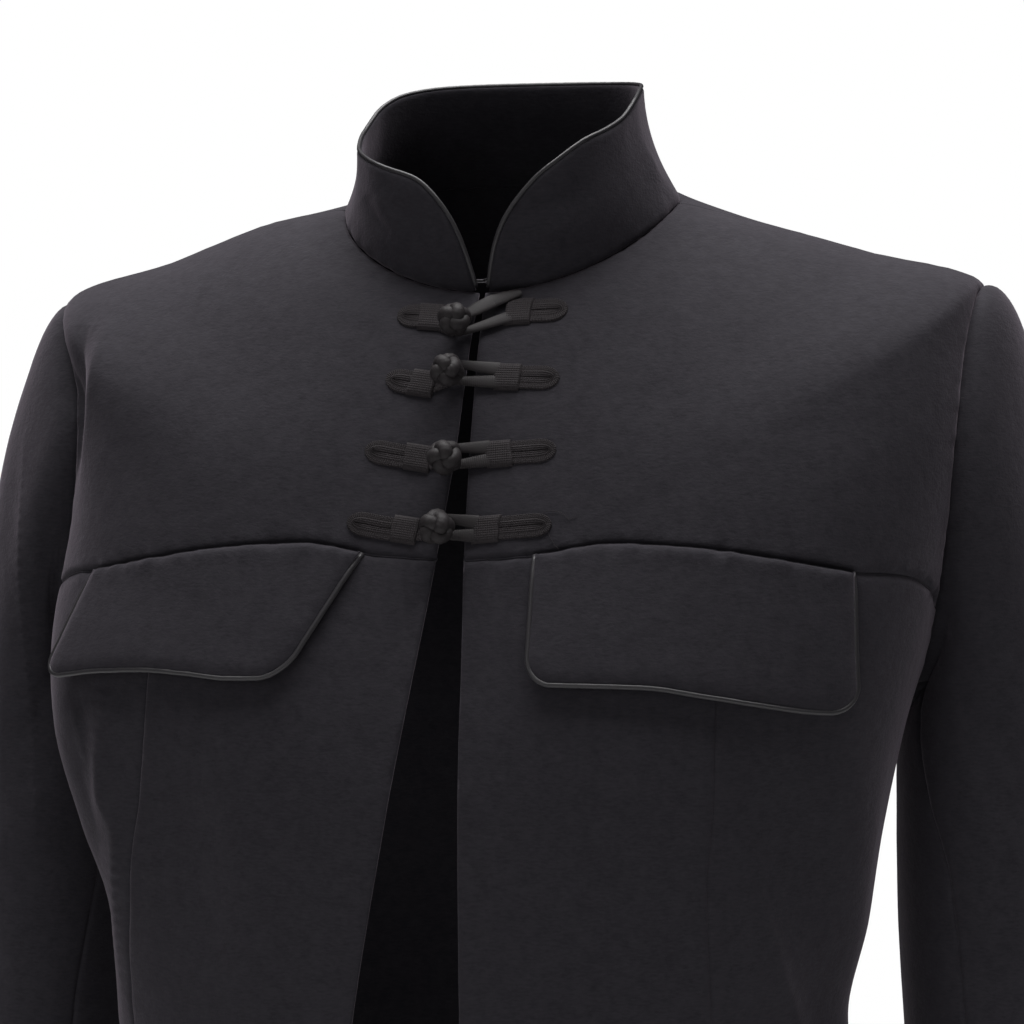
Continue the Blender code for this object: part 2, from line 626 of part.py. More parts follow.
def yoke_pieces(side):
    """The yoke seam in three runs: edge to panel seam, and panel seam to armhole."""
    edge_z = YOKE["z"][0]
    edge_x = float(from_z(EDGE, side + "_x", edge_z))
    panel_x = PANEL[side + "_x"][0]
    inner = yoke_run(side, edge_x, panel_x, 7)
    far_x = math.copysign(YOKE["x"][-1], panel_x)
    outer = yoke_run(side, panel_x, far_x, 3)
    hole = armhole_run(side, YOKE_POINT, YOKE_POINT)[0]
    outer = np.concatenate([outer, between(outer[-1], hole, 2)[1:]])
    return inner, outer


def make_fronts(side):
    inner, outer = yoke_pieces(side)
    top = EDGE["z"][0]
    upper_edge = edge_run(side, top, YOKE["z"][0], 5)
    upper_edge[0] = neck_corner(side)
    upper_edge[-1] = inner[0]
    lower_edge = edge_run(side, YOKE["z"][0], -0.62, 17)
    lower_edge[0] = inner[0]
    lower_edge[-1, 1] = -HEM_DROP
    panel = panel_run(side, 17)
    side_seam = side_run(side, 14)
    yoke = joined(
        neck_run(side, 8), shoulder_run(side, 6), armhole_run(side, 0, YOKE_POINT),
        outer[::-1], inner[::-1], upper_edge[::-1],
    )
    centre = joined(inner, panel, hem_run(panel[-1], lower_edge[-1], 6), lower_edge[::-1])
    flank = joined(
        outer, armhole_run(side, YOKE_POINT, UNDERARM_POINT), side_seam,
        hem_run(side_seam[-1], panel[-1], 6), panel[::-1],
    )
    wall("front_yoke_" + side, torso, yoke, TORSO_STEP, "wool")
    wall("front_centre_" + side, torso, centre, TORSO_STEP, "wool")
    wall("front_side_" + side, torso, flank, TORSO_STEP, "wool")


def make_back(side):
    side_seam = side_run(side, 14)
    far = math.pi * TORSO_SPREAD * SIGN[side]
    centre = np.column_stack([np.full(24, far), -between(0.0, HEM_DROP, 23)])
    outline = joined(
        shoulder_run(side, 6)[::-1], back_neck_run(side, 7), centre,
        hem_run(centre[-1], side_seam[-1], 10), side_seam[::-1],
        armhole_run(side, UNDERARM_POINT, ARMHOLE_POINTS),
    )
    wall("back_" + side, torso, outline, TORSO_STEP, "wool")


# Round the sleeve, in degrees, where its seams lie from the armhole down to the cuff
SEAM_COLUMNS = ("down", "front_left", "front_right", "back_left", "back_right")
SLEEVE_SEAMS = (
    (0.00, 150.0, 150.0, 250.0, 250.0),
    (0.10, 136.0, 146.0, 246.0, 244.0),
    (0.14, 124.0, 142.0, 244.0, 242.0),
    (0.18, 107.0, 134.0, 242.0, 240.0),
    (0.24, 102.0, 120.0, 240.0, 238.0),
    (0.50, 98.0, 104.0, 238.0, 236.0),
)
SLEEVE_SEAM = {name: np.array(values) for name, values in zip(SEAM_COLUMNS, zip(*SLEEVE_SEAMS))}
SLEEVE_LENGTH = SLEEVE_CAP_LENGTH + ARM["z"][0] - CUFF_Z


def sleeve_seam_run(side, which, count, whole_turn=0.0):
    down = between(0.0, SLEEVE_LENGTH, count)
    degrees = smooth(SLEEVE_SEAM["down"], SLEEVE_SEAM[which + side], down) + whole_turn
    return np.column_stack([np.radians(degrees) * SLEEVE_SPREAD * -SIGN[side], -down])


def sleeve_head_run(side, first, last):
    turn = np.arange(first, last + 1) * 2 * math.pi / ARMHOLE_POINTS
    return np.column_stack([turn * SLEEVE_SPREAD * -SIGN[side], np.zeros(len(turn))])


def cuff_run(start, end, count):
    return np.column_stack([between(start[0], end[0], count), np.full(count + 1, start[1])])


def make_sleeve(side):
    front_point, back_point = SLEEVE_FRONT_SEAM_POINT, SLEEVE_BACK_SEAM_POINT
    front = sleeve_seam_run(side, "front_", 17)
    back = sleeve_seam_run(side, "back_", 17)
    back_before = sleeve_seam_run(side, "back_", 17, -360.0)
    upper = joined(
        sleeve_head_run(side, back_point - ARMHOLE_POINTS, front_point), front,
        cuff_run(front[-1], back_before[-1], 15), back_before[::-1],
    )
    under = joined(
        sleeve_head_run(side, front_point, back_point), back,
        cuff_run(back[-1], front[-1], 9), front[::-1],
    )
    form = sleeve(side)
    gap, crowd = CREASED_SEAM_GAP, SLEEVE_HEAD_CROWD
    wall("sleeve_top_" + side, form, upper, SLEEVE_STEP, "wool", gap=gap, crowd=crowd)
    wall("sleeve_under_" + side, form, under, SLEEVE_STEP, "wool", gap=gap)


# The collar's front corner, as distance in from its front edge and height on the neck seam
CORNER_COLUMNS = ("in_from_edge", "height")
COLLAR_CORNER = (
    (0.0000, 0.0000),
    (0.0001, 0.0016),
    (0.0014, 0.0080),
    (0.0036, 0.0165),
    (0.0068, 0.0250),
    (0.0112, 0.0325),
    (0.0170, 0.0385),
)


def collar_edge(side):
    """Flat across of the collar's front edge at the neck seam."""
    angle = math.asin(COLLAR_EDGE_X / -TORSO_RINGS[0][RING_COLUMNS.index("y_front")])
    return (math.pi - angle) * COLLAR_SPREAD * -SIGN[side]


def collar_outline():
    """Base from one front edge round the back to the other, then the top edge with its two corners."""
    left_edge, right_edge = collar_edge("left"), collar_edge("right")
    base_angles = np.concatenate([
        neck_run("right", 8)[1:, 0] / TORSO_SPREAD + math.pi,
        back_neck_run("right", 7)[1:, 0] / TORSO_SPREAD + math.pi,
        back_neck_run("left", 7)[-2::-1, 0] / TORSO_SPREAD - math.pi,
        neck_run("left", 8)[-2:0:-1, 0] / TORSO_SPREAD - math.pi,
    ])
    base = np.column_stack([base_angles * COLLAR_SPREAD, np.zeros(len(base_angles))])
    base = np.concatenate([[[right_edge, 0.0]], base, [[left_edge, 0.0]]])
    corner = np.array(COLLAR_CORNER)
    left_corner = np.column_stack([left_edge + corner[:, 0], corner[:, 1]])
    right_corner = np.column_stack([right_edge - corner[:, 0], corner[:, 1]])
    first, last = left_corner[-1, 0] + 0.007, right_corner[-1, 0] - 0.007
    across = between(first, last, 32)
    angle = math.pi + across / COLLAR_SPREAD
    height = rim(angle)[:, 2] - neck_seam(angle)[:, 2]
    top = np.concatenate([left_corner, np.column_stack([across, height]), right_corner[::-1]])
    return base, top


def edge_path(form, run, inward_sign, radius, depth):
    """A tube's path beside an edge of a wall: out from the edge, at this depth in the wall."""
    run = np.asarray(run)
    skin, normal = form(run), normals(form, run)
    along = np.gradient(skin, axis=0)
    outward = unit(np.cross(normal, along)) * -inward_sign
    return skin + normal * depth + outward * (radius + REST_GAP - SEAM_GAP / 2)


def make_collar():
    base, top = collar_outline()
    outline = joined(base, top)
    wall("collar", collar, outline, COLLAR_STEP, "wool", thick=COLLAR_CLOTH, gap=CREASED_SEAM_GAP)
    clockwise = 1 if area_of(np.concatenate([base, top])) > 0 else -1
    path = edge_path(collar, top, clockwise, PIPING_RADIUS, -COLLAR_CLOTH / 2)
    tube("collar_piping", path[1:-1], PIPING_RADIUS, "satin")


def flap_point(side, across, down):
    """x and z of a flap at its shares across (inner end 0) and down (yoke seam 0)."""
    place = FLAP_PLACES[side]
    top_x = place["top"][0] + (place["top"][1] - place["top"][0]) * across
    foot_x = place["foot"][0] + (place["foot"][1] - place["foot"][0]) * across
    top_z = smooth(YOKE["x"], YOKE["z"], np.abs(top_x))
    foot_z = smooth(FOOT["share"], FOOT[side + "_z"], across)
    return np.column_stack([top_x + (foot_x - top_x) * down, top_z + (foot_z - top_z) * down])


def flap_outline(side):
    """Shares across and down along a flap's rim (inner end, foot, outer end), then along its top."""
    place = FLAP_PLACES[side]
    corner_across = FLAP_CORNER / abs(place["foot"][1] - place["foot"][0])
    corner_down = FLAP_CORNER / (FOOT[side + "_z"][0] - YOKE["z"].mean()) * -1
    bend = np.radians([0.0, 30.0, 60.0, 90.0])
    inner = np.column_stack([corner_across * (1 - np.sin(bend)), 1 - corner_down * (1 - np.cos(bend))])
    inner = inner[::-1]
    outer = np.column_stack([1 - inner[::-1, 0], inner[::-1, 1]])
    middle = between(inner[-1, 0], outer[0, 0], 8)[1:-1]
    foot = np.column_stack([middle, np.ones(len(middle))])
    side_down = between(0.0, inner[0, 1], 3)[:-1]
    inner_side = np.column_stack([np.zeros(3), side_down])
    outer_side = np.column_stack([np.ones(3), side_down[::-1]])
    rim_shares = np.concatenate([inner_side, inner, foot, outer, outer_side])
    top_shares = np.column_stack([between(1.0, 0.0, 9)[1:-1], np.zeros(8)])
    return rim_shares, top_shares


def make_flap(side):
    rim_shares, top_shares = flap_outline(side)
    place = FLAP_PLACES[side]
    ends = np.array([[0.0, 0.0], [1.0, 0.0], [0.0, 1.0], [1.0, 1.0]])
    corners = on_front(flap_point(side, ends[:, 0], ends[:, 1]))

    def stand_off(sheet):
        across = np.clip((sheet[:, 0] - corners[0, 0]) / (corners[1, 0] - corners[0, 0]), 0, 1)
        top = corners[0, 1] + (corners[1, 1] - corners[0, 1]) * across
        foot = corners[2, 1] + (corners[3, 1] - corners[2, 1]) * across
        down = np.clip((sheet[:, 1] - top) / (foot - top), 0, 1)
        stand = place["stand"][0] + (place["stand"][1] - place["stand"][0]) * across**2
        return FLAP_LIFT + stand * down**1.3

    edge = on_front(flap_point(side, rim_shares[:, 0], rim_shares[:, 1]))
    top = on_front(flap_point(side, top_shares[:, 0], top_shares[:, 1]))
    outline = joined(edge, top)
    wall("pocket_flap_" + side, torso, outline, FLAP_STEP, "wool", thick=FLAP_CLOTH, lift=stand_off)
    turn = 1 if area_of(np.concatenate([edge, top])) > 0 else -1
    height = stand_off(edge)[:, None] + FLAP_CLOTH / 2
    path = edge_path(torso, edge, turn, PIPING_RADIUS, height)
    tube("flap_piping_" + side, path, PIPING_RADIUS, "satin")


def on_cloth(places):
    """World points for (x, z, height over the cloth) on the jacket's front."""
    places = np.atleast_2d(np.asarray(places, float))
    sheet = on_front(places[:, :2])
    return torso(sheet) + normals(torso, sheet) * places[:, 2:]


def tape_outline(root, band, tip, width):
    """A tape that runs from its square root through its band to a round tip, as x and z."""
    root, band, tip = np.array([root, band, tip])
    half = width / 2
    along = unit(tip - band)
    across = np.array([-along[1], along[0]])
    bend = np.radians(np.linspace(90, -90, 7))[:, None]
    round_end = tip - along * half + half * (across * np.sin(bend) + along * np.cos(bend))
    at_root = unit(band - root)
    across_root = np.array([-at_root[1], at_root[0]])
    before = [band - across * half, root - across_root * half]
    after = [root + across_root * half, band + across * half]
    return np.concatenate([round_end, before, after])


def make_tape(name, outline, low, high):
    sheet = joined(on_front(outline))

    def height(at):
        return np.full(len(at), low)

    wall(name, torso, sheet, TAPE_STEP, "braid", thick=high - low, gap=0.0, lift=height)


def band_outline(middle, toward):
    """A square band across a tape, as x and z."""
    middle = np.array(middle)
    along = unit(np.array(toward) - middle) * BAND_SPAN / 2
    across = np.array([-along[1], along[0]]) * BAND_WIDTH / BAND_SPAN
    return middle + np.array([-along - across, along - across, along + across, across - along])


def knot_rings():
    """Radius and height of the ball's rings above the top of its neck."""
    angles = np.radians(np.linspace(-72, 82, 8))
    return [(KNOT_RADIUS * math.cos(a), KNOT_RADIUS * (0.96 + math.sin(a))) for a in angles]


def ring_points(middle, right, up, radius, lobes=0.0, turned=0.0, sides=12):
    turn = np.arange(sides)[:, None] * 2 * math.pi / sides
    swell = radius * (1 + lobes * np.cos(4 * turn + turned))
    return middle + (right * np.cos(turn) + up * np.sin(turn)) * swell


def make_knot(name, x, z):
    """A ball button of wound cord on a short neck: four lobes turn as the rings rise, and it droops."""
    low = REST_GAP * 2 + TAPE_THICK
    foot, above = on_cloth([[x, z, low], [x, z, low + 0.01]])
    out = unit(above - foot)
    right = unit(np.cross((0.0, 0.0, 1.0), out))
    neck_top = foot + out * KNOT_NECK_LENGTH
    rings = [ring_points(foot, right, np.cross(out, right), KNOT_NECK)]
    rings.append(ring_points(neck_top, right, np.cross(out, right), KNOT_NECK))
    ball_out = unit(out - np.array([0.0, 0.0, KNOT_DROOP]))
    ball_up = np.cross(ball_out, right)
    for i, (radius, height) in enumerate(knot_rings()):
        lobes = 0.09 if i else 0.0
        rings.append(ring_points(neck_top + ball_out * height, right, ball_up, radius, lobes, 1.1 * i))
    sides = len(rings[0])
    faces = [list(range(sides))[::-1], [(len(rings) - 1) * sides + j for j in range(sides)]]
    for i in range(len(rings) - 1):
        for j in range(sides):
            after = (j + 1) % sides
            faces.append([i * sides + j, i * sides + after, (i + 1) * sides + after, (i + 1) * sides + j])
    point_out(add_mesh(name, np.concatenate(rings), faces, "braid"))


def point_out(obj):
    """Turns a closed mesh's faces outwards."""
    mesh = obj.data
    mesh.calc_loop_triangles()
    corners = np.array([[mesh.vertices[i].co for i in t.vertices] for t in mesh.loop_triangles])
    if np.linalg.det(corners - corners.mean(axis=(0, 1))).sum() < 0:
        mesh.flip_normals()


def make_loop(name, knot, root):
    """A cord loop from its band on the left front, round the knot's neck and back."""
    knot, root = np.array(knot), np.array(root)
    high = REST_GAP * 2 + TAPE_THICK + LOOP_RADIUS
    low = REST_GAP + LOOP_RADIUS
    along = unit(root - knot)
    across = np.array([-along[1], along[0]])
    bend = np.radians(np.linspace(72, 288, 8))[:, None]
    ring = knot + LOOP_BEND * (along * np.cos(bend) + across * np.sin(bend))
    half = across * LOOP_BEND * 0.66
    path = np.concatenate([[root + half], ring, [root - half]])
    height = np.full(len(path), high)
    height[[0, -1]] = low
    tube(name, on_cloth(np.column_stack([path, height])), LOOP_RADIUS, "braid")


def make_frog(number, row):
    frog = dict(zip(FROG_COLUMNS, row))
    spots = ("right_tip", "right_band", "knot", "left_band", "left_tip")
    right_tip, right_band, knot, left_band, left_tip = (
        np.array([frog[spot + "_x"], frog[spot + "_z"]]) for spot in spots
    )
    name = f"frog_{number}_"
    low, high = REST_GAP, REST_GAP + TAPE_THICK
    band_low, band_high = high + REST_GAP, high + REST_GAP + TAPE_THICK
    knot_root = knot + unit(knot - right_band) * (KNOT_NECK + REST_GAP)
    knot_tape = tape_outline(knot_root, right_band, right_tip, TAPE_WIDTH)
    make_tape(name + "knot_tape", knot_tape, low, high)
    make_tape(name + "knot_band", band_outline(right_band, right_tip), band_low, band_high)
    make_knot(name + "knot", *knot)
    loop_root = left_band - unit(left_tip - left_band) * BAND_SPAN / 2
    loop_tape = tape_outline(loop_root, left_band, left_tip, TAPE_WIDTH)
    make_tape(name + "loop_tape", loop_tape, low, high)
    make_tape(name + "loop_band", band_outline(left_band, left_tip), band_low, band_high)
    make_loop(name + "loop", knot, loop_root - (LOOP_END_GAP, 0.0))


def on_collar(places):
    """World points for (x, height on the neck seam, height over the cloth) on the collar's front."""
    places = np.asarray(places, float)
    reach = -TORSO_RINGS[0][RING_COLUMNS.index("y_front")]
    sheet = np.column_stack([(places[:, 0] / reach - math.pi) * COLLAR_SPREAD, places[:, 1]])
    return collar(sheet) + normals(collar, sheet) * places[:, 2:]


def make_hook_and_eye():
    """A wire hook and eye behind the collar's front edges, just above the neck seam."""
    up = 0.0024
    eye_depth = -COLLAR_CLOTH - REST_GAP - 3 * WIRE_RADIUS - REST_GAP
    bend = 2 * WIRE_RADIUS + REST_GAP
    eye = [(0.0080, 0.0016), (0.0022, 0.0013), (0.0004, 0.0009), (0.0004, -0.0009)]
    eye += [(0.0022, -0.0013), (0.0080, -0.0016)]
    eye_path = on_collar([(x, up + rise, eye_depth) for x, rise in eye])
    tube("eye", eye_path, WIRE_RADIUS, "hook_metal")
    turns = np.radians(np.linspace(90, -90, 7))
    hook = [(-0.0080, up, eye_depth + bend), (-0.0030, up, eye_depth + bend)]
    hook += [(0.0004 + bend * math.cos(a), up, eye_depth + bend * math.sin(a)) for a in turns]
    hook += [(-0.0035, up, eye_depth - bend)]
    tube("hook", on_collar(hook), WIRE_RADIUS, "hook_metal")


clear_scene()
MATERIAL = {name: make_material(name) for name in MATERIALS}
COLLECTION = bpy.data.collections.new("mandarin_collar_jacket")
bpy.context.scene.collection.children.link(COLLECTION)
for wearer_side in ("left", "right"):
    make_fronts(wearer_side)
    make_back(wearer_side)
    make_sleeve(wearer_side)
    make_flap(wearer_side)
make_collar()
for index, frog_row in enumerate(FROGS):
    make_frog(index + 1, frog_row)
make_hook_and_eye()
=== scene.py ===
"""Mandarin collar jacket with frog fastenings: cloth, trims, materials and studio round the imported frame.

Metres, +Z up, -Y is the jacket's front and +X the wearer's left. Each cloth piece is cut from a flat
sheet, laid over the same curved form as its solid, and given seams, puckers, creases and a thickness.
"""

import math

import bpy
import numpy as np
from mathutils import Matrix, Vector, kdtree, noise
from mathutils.geometry import delaunay_2d_cdt


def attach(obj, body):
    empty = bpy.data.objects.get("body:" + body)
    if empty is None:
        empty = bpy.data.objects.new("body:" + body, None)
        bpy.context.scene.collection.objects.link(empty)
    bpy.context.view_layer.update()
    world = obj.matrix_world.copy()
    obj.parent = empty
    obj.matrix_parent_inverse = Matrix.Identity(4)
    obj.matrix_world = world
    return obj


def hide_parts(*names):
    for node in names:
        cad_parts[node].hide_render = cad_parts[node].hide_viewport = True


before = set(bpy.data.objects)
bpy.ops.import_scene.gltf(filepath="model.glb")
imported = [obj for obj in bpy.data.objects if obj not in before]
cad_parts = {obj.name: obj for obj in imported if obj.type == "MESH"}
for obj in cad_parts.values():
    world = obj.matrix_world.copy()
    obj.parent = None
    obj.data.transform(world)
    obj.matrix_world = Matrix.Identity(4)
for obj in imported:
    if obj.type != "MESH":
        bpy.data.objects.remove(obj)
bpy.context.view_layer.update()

# Driving dimensions, as in the solids
CLOTH = 0.0020
COLLAR_CLOTH = 0.0026
FLAP_CLOTH = 0.0028
REST_GAP = 0.0003
COLLAR_EDGE_X = 0.0031
HEM_DROP = 0.675
ARMHOLE_TOP_DROP = 0.130
ARMHOLE_BOTTOM_DROP = 0.280
ARMHOLE_PULL = {"left": 0.0, "right": 3.0}
SLEEVE_CAP_LENGTH = 0.140
CUFF_Z = -0.605
SIGN = {"left": 1, "right": -1}
SIDES = ("left", "right")

# How many metres of flat sheet one radian takes on each form
TORSO_SPREAD = 0.155
SLEEVE_SPREAD = 0.053
COLLAR_SPREAD = 0.066

# Mesh spacing of the cloth's inner points, and the depths of the rings of points beside an edge
CLOTH_STEP = 0.0036
COLLAR_STEP = 0.0024
FLAP_STEP = 0.0026
SEAM_RINGS = (0.0004, 0.0009, 0.0017, 0.0028)

# Pipings: radius, how far they sink into the edge, and how the flap's one is tucked in at its ends
PIPING_RADIUS = 0.0011
COLLAR_PIPING_RADIUS = 0.0009
PIPING_SUNK = 0.0004
PIPING_TUCK = 0.0022
PIPING_TUCK_POINTS = 6
PIPING_WOBBLE = 0.05

# Spacing of the points along the collar's top edge, and over how many of them its corners are rounded
COLLAR_RIM_STEP = 0.0013
COLLAR_RIM_ROUNDING = 9

# Outlines have this many times the solids' points; the armhole's are counted from its top, front first
FINER = 6
ARMHOLE_POINTS = 36 * FINER
YOKE_POINT = 12 * FINER
UNDERARM_POINT = 18 * FINER
SLEEVE_FRONT_SEAM_POINT = 15 * FINER
SLEEVE_BACK_SEAM_POINT = 25 * FINER


def by_column(names, rows):
    """A table's columns as arrays, by name."""
    return {name: np.array(values) for name, values in zip(names, zip(*rows))}


# Rings of the torso form, from the neck seam down. z_ and y_ columns give the ring's height and its
# reach at the centre front, at the wearer's left and right side and at the centre back; wide_ is its
# half width to the wearer's left and right. A square above 2 is boxier than an ellipse, ridge rounds
# the shoulder line, and tilt slopes the ring from back to front near the sides.
RING_COLUMNS = (
    "drop", "z_front", "z_left", "z_right", "z_back", "wide_left", "wide_right",
    "y_side", "y_front", "y_back", "square_front", "square_back", "ridge", "tilt",
)
TORSO_RINGS = (
    (0.000, -0.0417, -0.0010, -0.0015, 0.0130, 0.0735, 0.0735, 0.000, -0.0575, 0.058, 2.0, 2.0, 0.30, 0.25),
    (0.030, -0.0640, -0.0090, -0.0058, -0.0060, 0.1040, 0.1040, 0.004, -0.0720, 0.075, 2.0, 2.0, 0.25, 0.12),
    (0.080, -0.1050, -0.0225, -0.0228, -0.0420, 0.1530, 0.1530, 0.008, -0.0890, 0.093, 2.1, 2.1, 0.20, 0.03),
    (0.130, -0.1480, -0.0385, -0.0405, -0.0850, 0.2015, 0.2015, 0.012, -0.1030, 0.104, 2.3, 2.3, 0.15, 0.00),
    (0.160, -0.1720, -0.0720, -0.0720, -0.1150, 0.2015, 0.1920, 0.008, -0.1100, 0.107, 2.5, 2.4, 0.20, 0.00),
    (0.200, -0.2010, -0.1200, -0.1200, -0.1560, 0.1965, 0.1895, 0.000, -0.1180, 0.108, 2.6, 2.4, 0.30, 0.00),
    (0.245, -0.2310, -0.1750, -0.1750, -0.2020, 0.1860, 0.1925, -0.018, -0.1240, 0.104, 2.6, 2.2, 0.50, 0.00),
    (0.285, -0.2540, -0.2220, -0.2220, -0.2390, 0.1735, 0.1865, -0.034, -0.1262, 0.097, 2.6, 2.0, 0.80, 0.00),
    (0.325, -0.2830, -0.2650, -0.2650, -0.2730, 0.1645, 0.1745, -0.036, -0.1262, 0.089, 2.5, 2.0, 0.80, 0.00),
    (0.362, -0.3140, -0.3040, -0.3040, -0.3080, 0.1575, 0.1625, -0.033, -0.1254, 0.082, 2.5, 2.0, 0.80, 0.00),
    (0.400, -0.3500, -0.3450, -0.3450, -0.3470, 0.1470, 0.1635, -0.026, -0.1240, 0.075, 2.4, 2.0, 0.80, 0.00),
    (0.455, -0.4020, -0.4000, -0.4000, -0.4000, 0.1470, 0.1590, -0.018, -0.1230, 0.071, 2.3, 2.0, 0.80, 0.00),
    (0.535, -0.4800, -0.4800, -0.4800, -0.4800, 0.1620, 0.1640, -0.014, -0.1245, 0.086, 2.3, 2.1, 0.80, 0.00),
    (0.615, -0.5600, -0.5600, -0.5600, -0.5600, 0.1760, 0.1760, -0.011, -0.1280, 0.101, 2.3, 2.1, 0.80, 0.00),
    (0.675, -0.6200, -0.6200, -0.6200, -0.6200, 0.1840, 0.1840, -0.010, -0.1310, 0.108, 2.3, 2.1, 0.80, 0.00),
)
RING = by_column(RING_COLUMNS, TORSO_RINGS)

# Soft vertical folds of the torso: angle from the centre front (wearer's left positive) and half width
# in degrees, the stretch of drop that the fold runs over, and how far it stands out of the form.
FOLD_COLUMNS = ("angle", "angle_below", "half_width", "from_drop", "to_drop", "height")
TORSO_FOLDS = (
    (-78.0, -66.0, 9.0, 0.215, 0.420, 0.0060),
    (-60.0, -54.0, 8.0, 0.235, 0.400, -0.0040),
    (68.0, 74.0, 10.0, 0.240, 0.470, -0.0045),
    (88.0, 84.0, 9.0, 0.300, 0.560, 0.0035),
    (30.0, 24.0, 13.0, 0.420, 0.700, 0.0040),
    (-34.0, -30.0, 13.0, 0.430, 0.700, 0.0045),
    (140.0, 150.0, 12.0, 0.330, 0.560, 0.0040),
    (-142.0, -150.0, 12.0, 0.340, 0.560, 0.0035),
)

# Rings of the sleeve form below the cap; out_ is the middle's distance from the jacket's own middle
ARM_COLUMNS = ("z", "out_left", "out_right", "y", "half_width", "half_depth", "slope")
ARM_RINGS = (
    (-0.250, 0.2035, 0.2125, 0.034, 0.0405, 0.0600, 0.00),
    (-0.300, 0.2040, 0.2125, 0.034, 0.0405, 0.0585, 0.02),
    (-0.355, 0.2070, 0.2125, 0.030, 0.0402, 0.0560, 0.06),
    (-0.420, 0.2115, 0.2140, 0.019, 0.0385, 0.0520, 0.12),
    (-0.520, 0.2170, 0.2180, -0.004, 0.0368, 0.0470, 0.20),
    (CUFF_Z, 0.2255, 0.2255, -0.026, 0.0355, 0.0430, 0.24),
)
ARM = by_column(ARM_COLUMNS, ARM_RINGS)

# Soft folds across the sleeve: where round it (degrees from its top edge, front positive), how far down
# from the armhole, half width round and along, and how far the fold stands out.
SLEEVE_FOLD_COLUMNS = ("angle", "down", "half_round", "half_along", "height")
SLEEVE_FOLDS = (
    (80.0, 0.275, 55.0, 0.014, 0.0030),
    (110.0, 0.305, 50.0, 0.012, -0.0030),
    (95.0, 0.335, 60.0, 0.013, 0.0028),
    (-100.0, 0.250, 45.0, 0.018, -0.0022),
)

# How the sleeve leaves the armhole: direction (out, forward, up) and pull, by angle from the top.
# The sleeve head of the raised shoulder rises more.
HEAD_RISE = {"left": 0.50, "right": 0.10}
HEAD_PULL = {"left": 1.00, "right": 0.94}
CAP_COLUMNS = ("angle", "out", "forward", "up", "pull")
CAP_LEAVES = (
    (0.0, 1.00, 0.00, 0.00, 0.082),
    (45.0, 0.94, 0.32, -0.05, 0.070),
    (90.0, 0.85, 0.50, -0.15, 0.052),
    (135.0, 0.84, 0.32, -0.38, 0.040),
    (180.0, 0.72, 0.00, -0.60, 0.034),
    (225.0, 0.80, -0.32, -0.45, 0.036),
    (270.0, 0.85, -0.50, -0.15, 0.052),
    (315.0, 0.94, -0.32, -0.05, 0.070),
    (360.0, 1.00, 0.00, 0.00, 0.082),
)
CAP = by_column(CAP_COLUMNS, CAP_LEAVES)

# Front edges: the left front hangs straight and the right front swings away from it
EDGE_COLUMNS = ("z", "left_x", "right_x")
FRONT_EDGES = (
    (-0.0417, 0.0012, -0.0012),
    (-0.1000, 0.0018, -0.0032),
    (-0.1530, 0.0028, -0.0085),
    (-0.2100, 0.0048, -0.0165),
    (-0.3400, 0.0055, -0.0390),
    (-0.4500, 0.0070, -0.0560),
    (-0.6200, 0.0100, -0.0760),
)
EDGE = by_column(EDGE_COLUMNS, FRONT_EDGES)

# Yoke seam: height above each x, and the panel seam that runs from it to the hem
YOKE_COLUMNS = ("x", "z")
YOKE_SEAM = (
    (0.000, -0.1535),
    (0.034, -0.1510),
    (0.065, -0.1465),
    (0.100, -0.1485),
    (0.135, -0.1535),
    (0.162, -0.1585),
)
YOKE = by_column(YOKE_COLUMNS, YOKE_SEAM)
PANEL_COLUMNS = ("z", "left_x", "right_x")
PANEL_SEAMS = (
    (-0.1400, 0.1100, -0.1270),
    (-0.2130, 0.1084, -0.1311),
    (-0.2490, 0.1075, -0.1345),
    (-0.2860, 0.1045, -0.1405),
    (-0.3350, 0.1052, -0.1443),
    (-0.4600, 0.1070, -0.1450),
    (-0.6200, 0.1130, -0.1500),
)
PANEL = by_column(PANEL_COLUMNS, PANEL_SEAMS)

# Pocket flaps: x of the corners at the yoke seam and at the foot, the foot's height by share of the
# width from the inner end, and how far the inner and outer ends of the foot stand off the front
FLAP_CORNER = 0.0095
FLAP_LIFT = 0.0009
FLAP_PLACES = {
    "left": {"top": (0.0334, 0.1590), "foot": (0.0340, 0.1575), "stand": (0.0035, 0.0045)},
    "right": {"top": (-0.0400, -0.1600), "foot": (-0.0690, -0.1760), "stand": (0.0040, 0.0065)},
}
FLAP_FOOT_COLUMNS = ("share", "left_z", "right_z")
FLAP_FOOT = (
    (0.00, -0.2030, -0.2012),
    (0.20, -0.2032, -0.2016),
    (0.38, -0.2036, -0.1998),
    (0.56, -0.2065, -0.1985),
    (0.75, -0.2103, -0.1995),
    (0.90, -0.2125, -0.2020),
    (1.00, -0.2127, -0.2038),
)
FOOT = by_column(FLAP_FOOT_COLUMNS, FLAP_FOOT)

# Frog fastenings from the neck down: x and z of the tape's tip, band and knot on the right front, then
# of the band and the tip on the left front
FROG_COLUMNS = (
    "right_tip_x", "right_tip_z", "right_band_x", "right_band_z", "knot_x", "knot_z",
    "left_band_x", "left_band_z", "left_tip_x", "left_tip_z",
)
FROGS = (
    (-0.0350, -0.0515, -0.0198, -0.0526, -0.0068, -0.0574, 0.0170, -0.0507, 0.0376, -0.0497),
    (-0.0362, -0.0783, -0.0200, -0.0806, -0.0074, -0.0770, 0.0156, -0.0782, 0.0375, -0.0788),
    (-0.0420, -0.1080, -0.0193, -0.1115, -0.0052, -0.1120, 0.0147, -0.1100, 0.0388, -0.1082),
    (-0.0468, -0.1375, -0.0222, -0.1410, -0.0065, -0.1402, 0.0118, -0.1407, 0.0390, -0.1385),
)


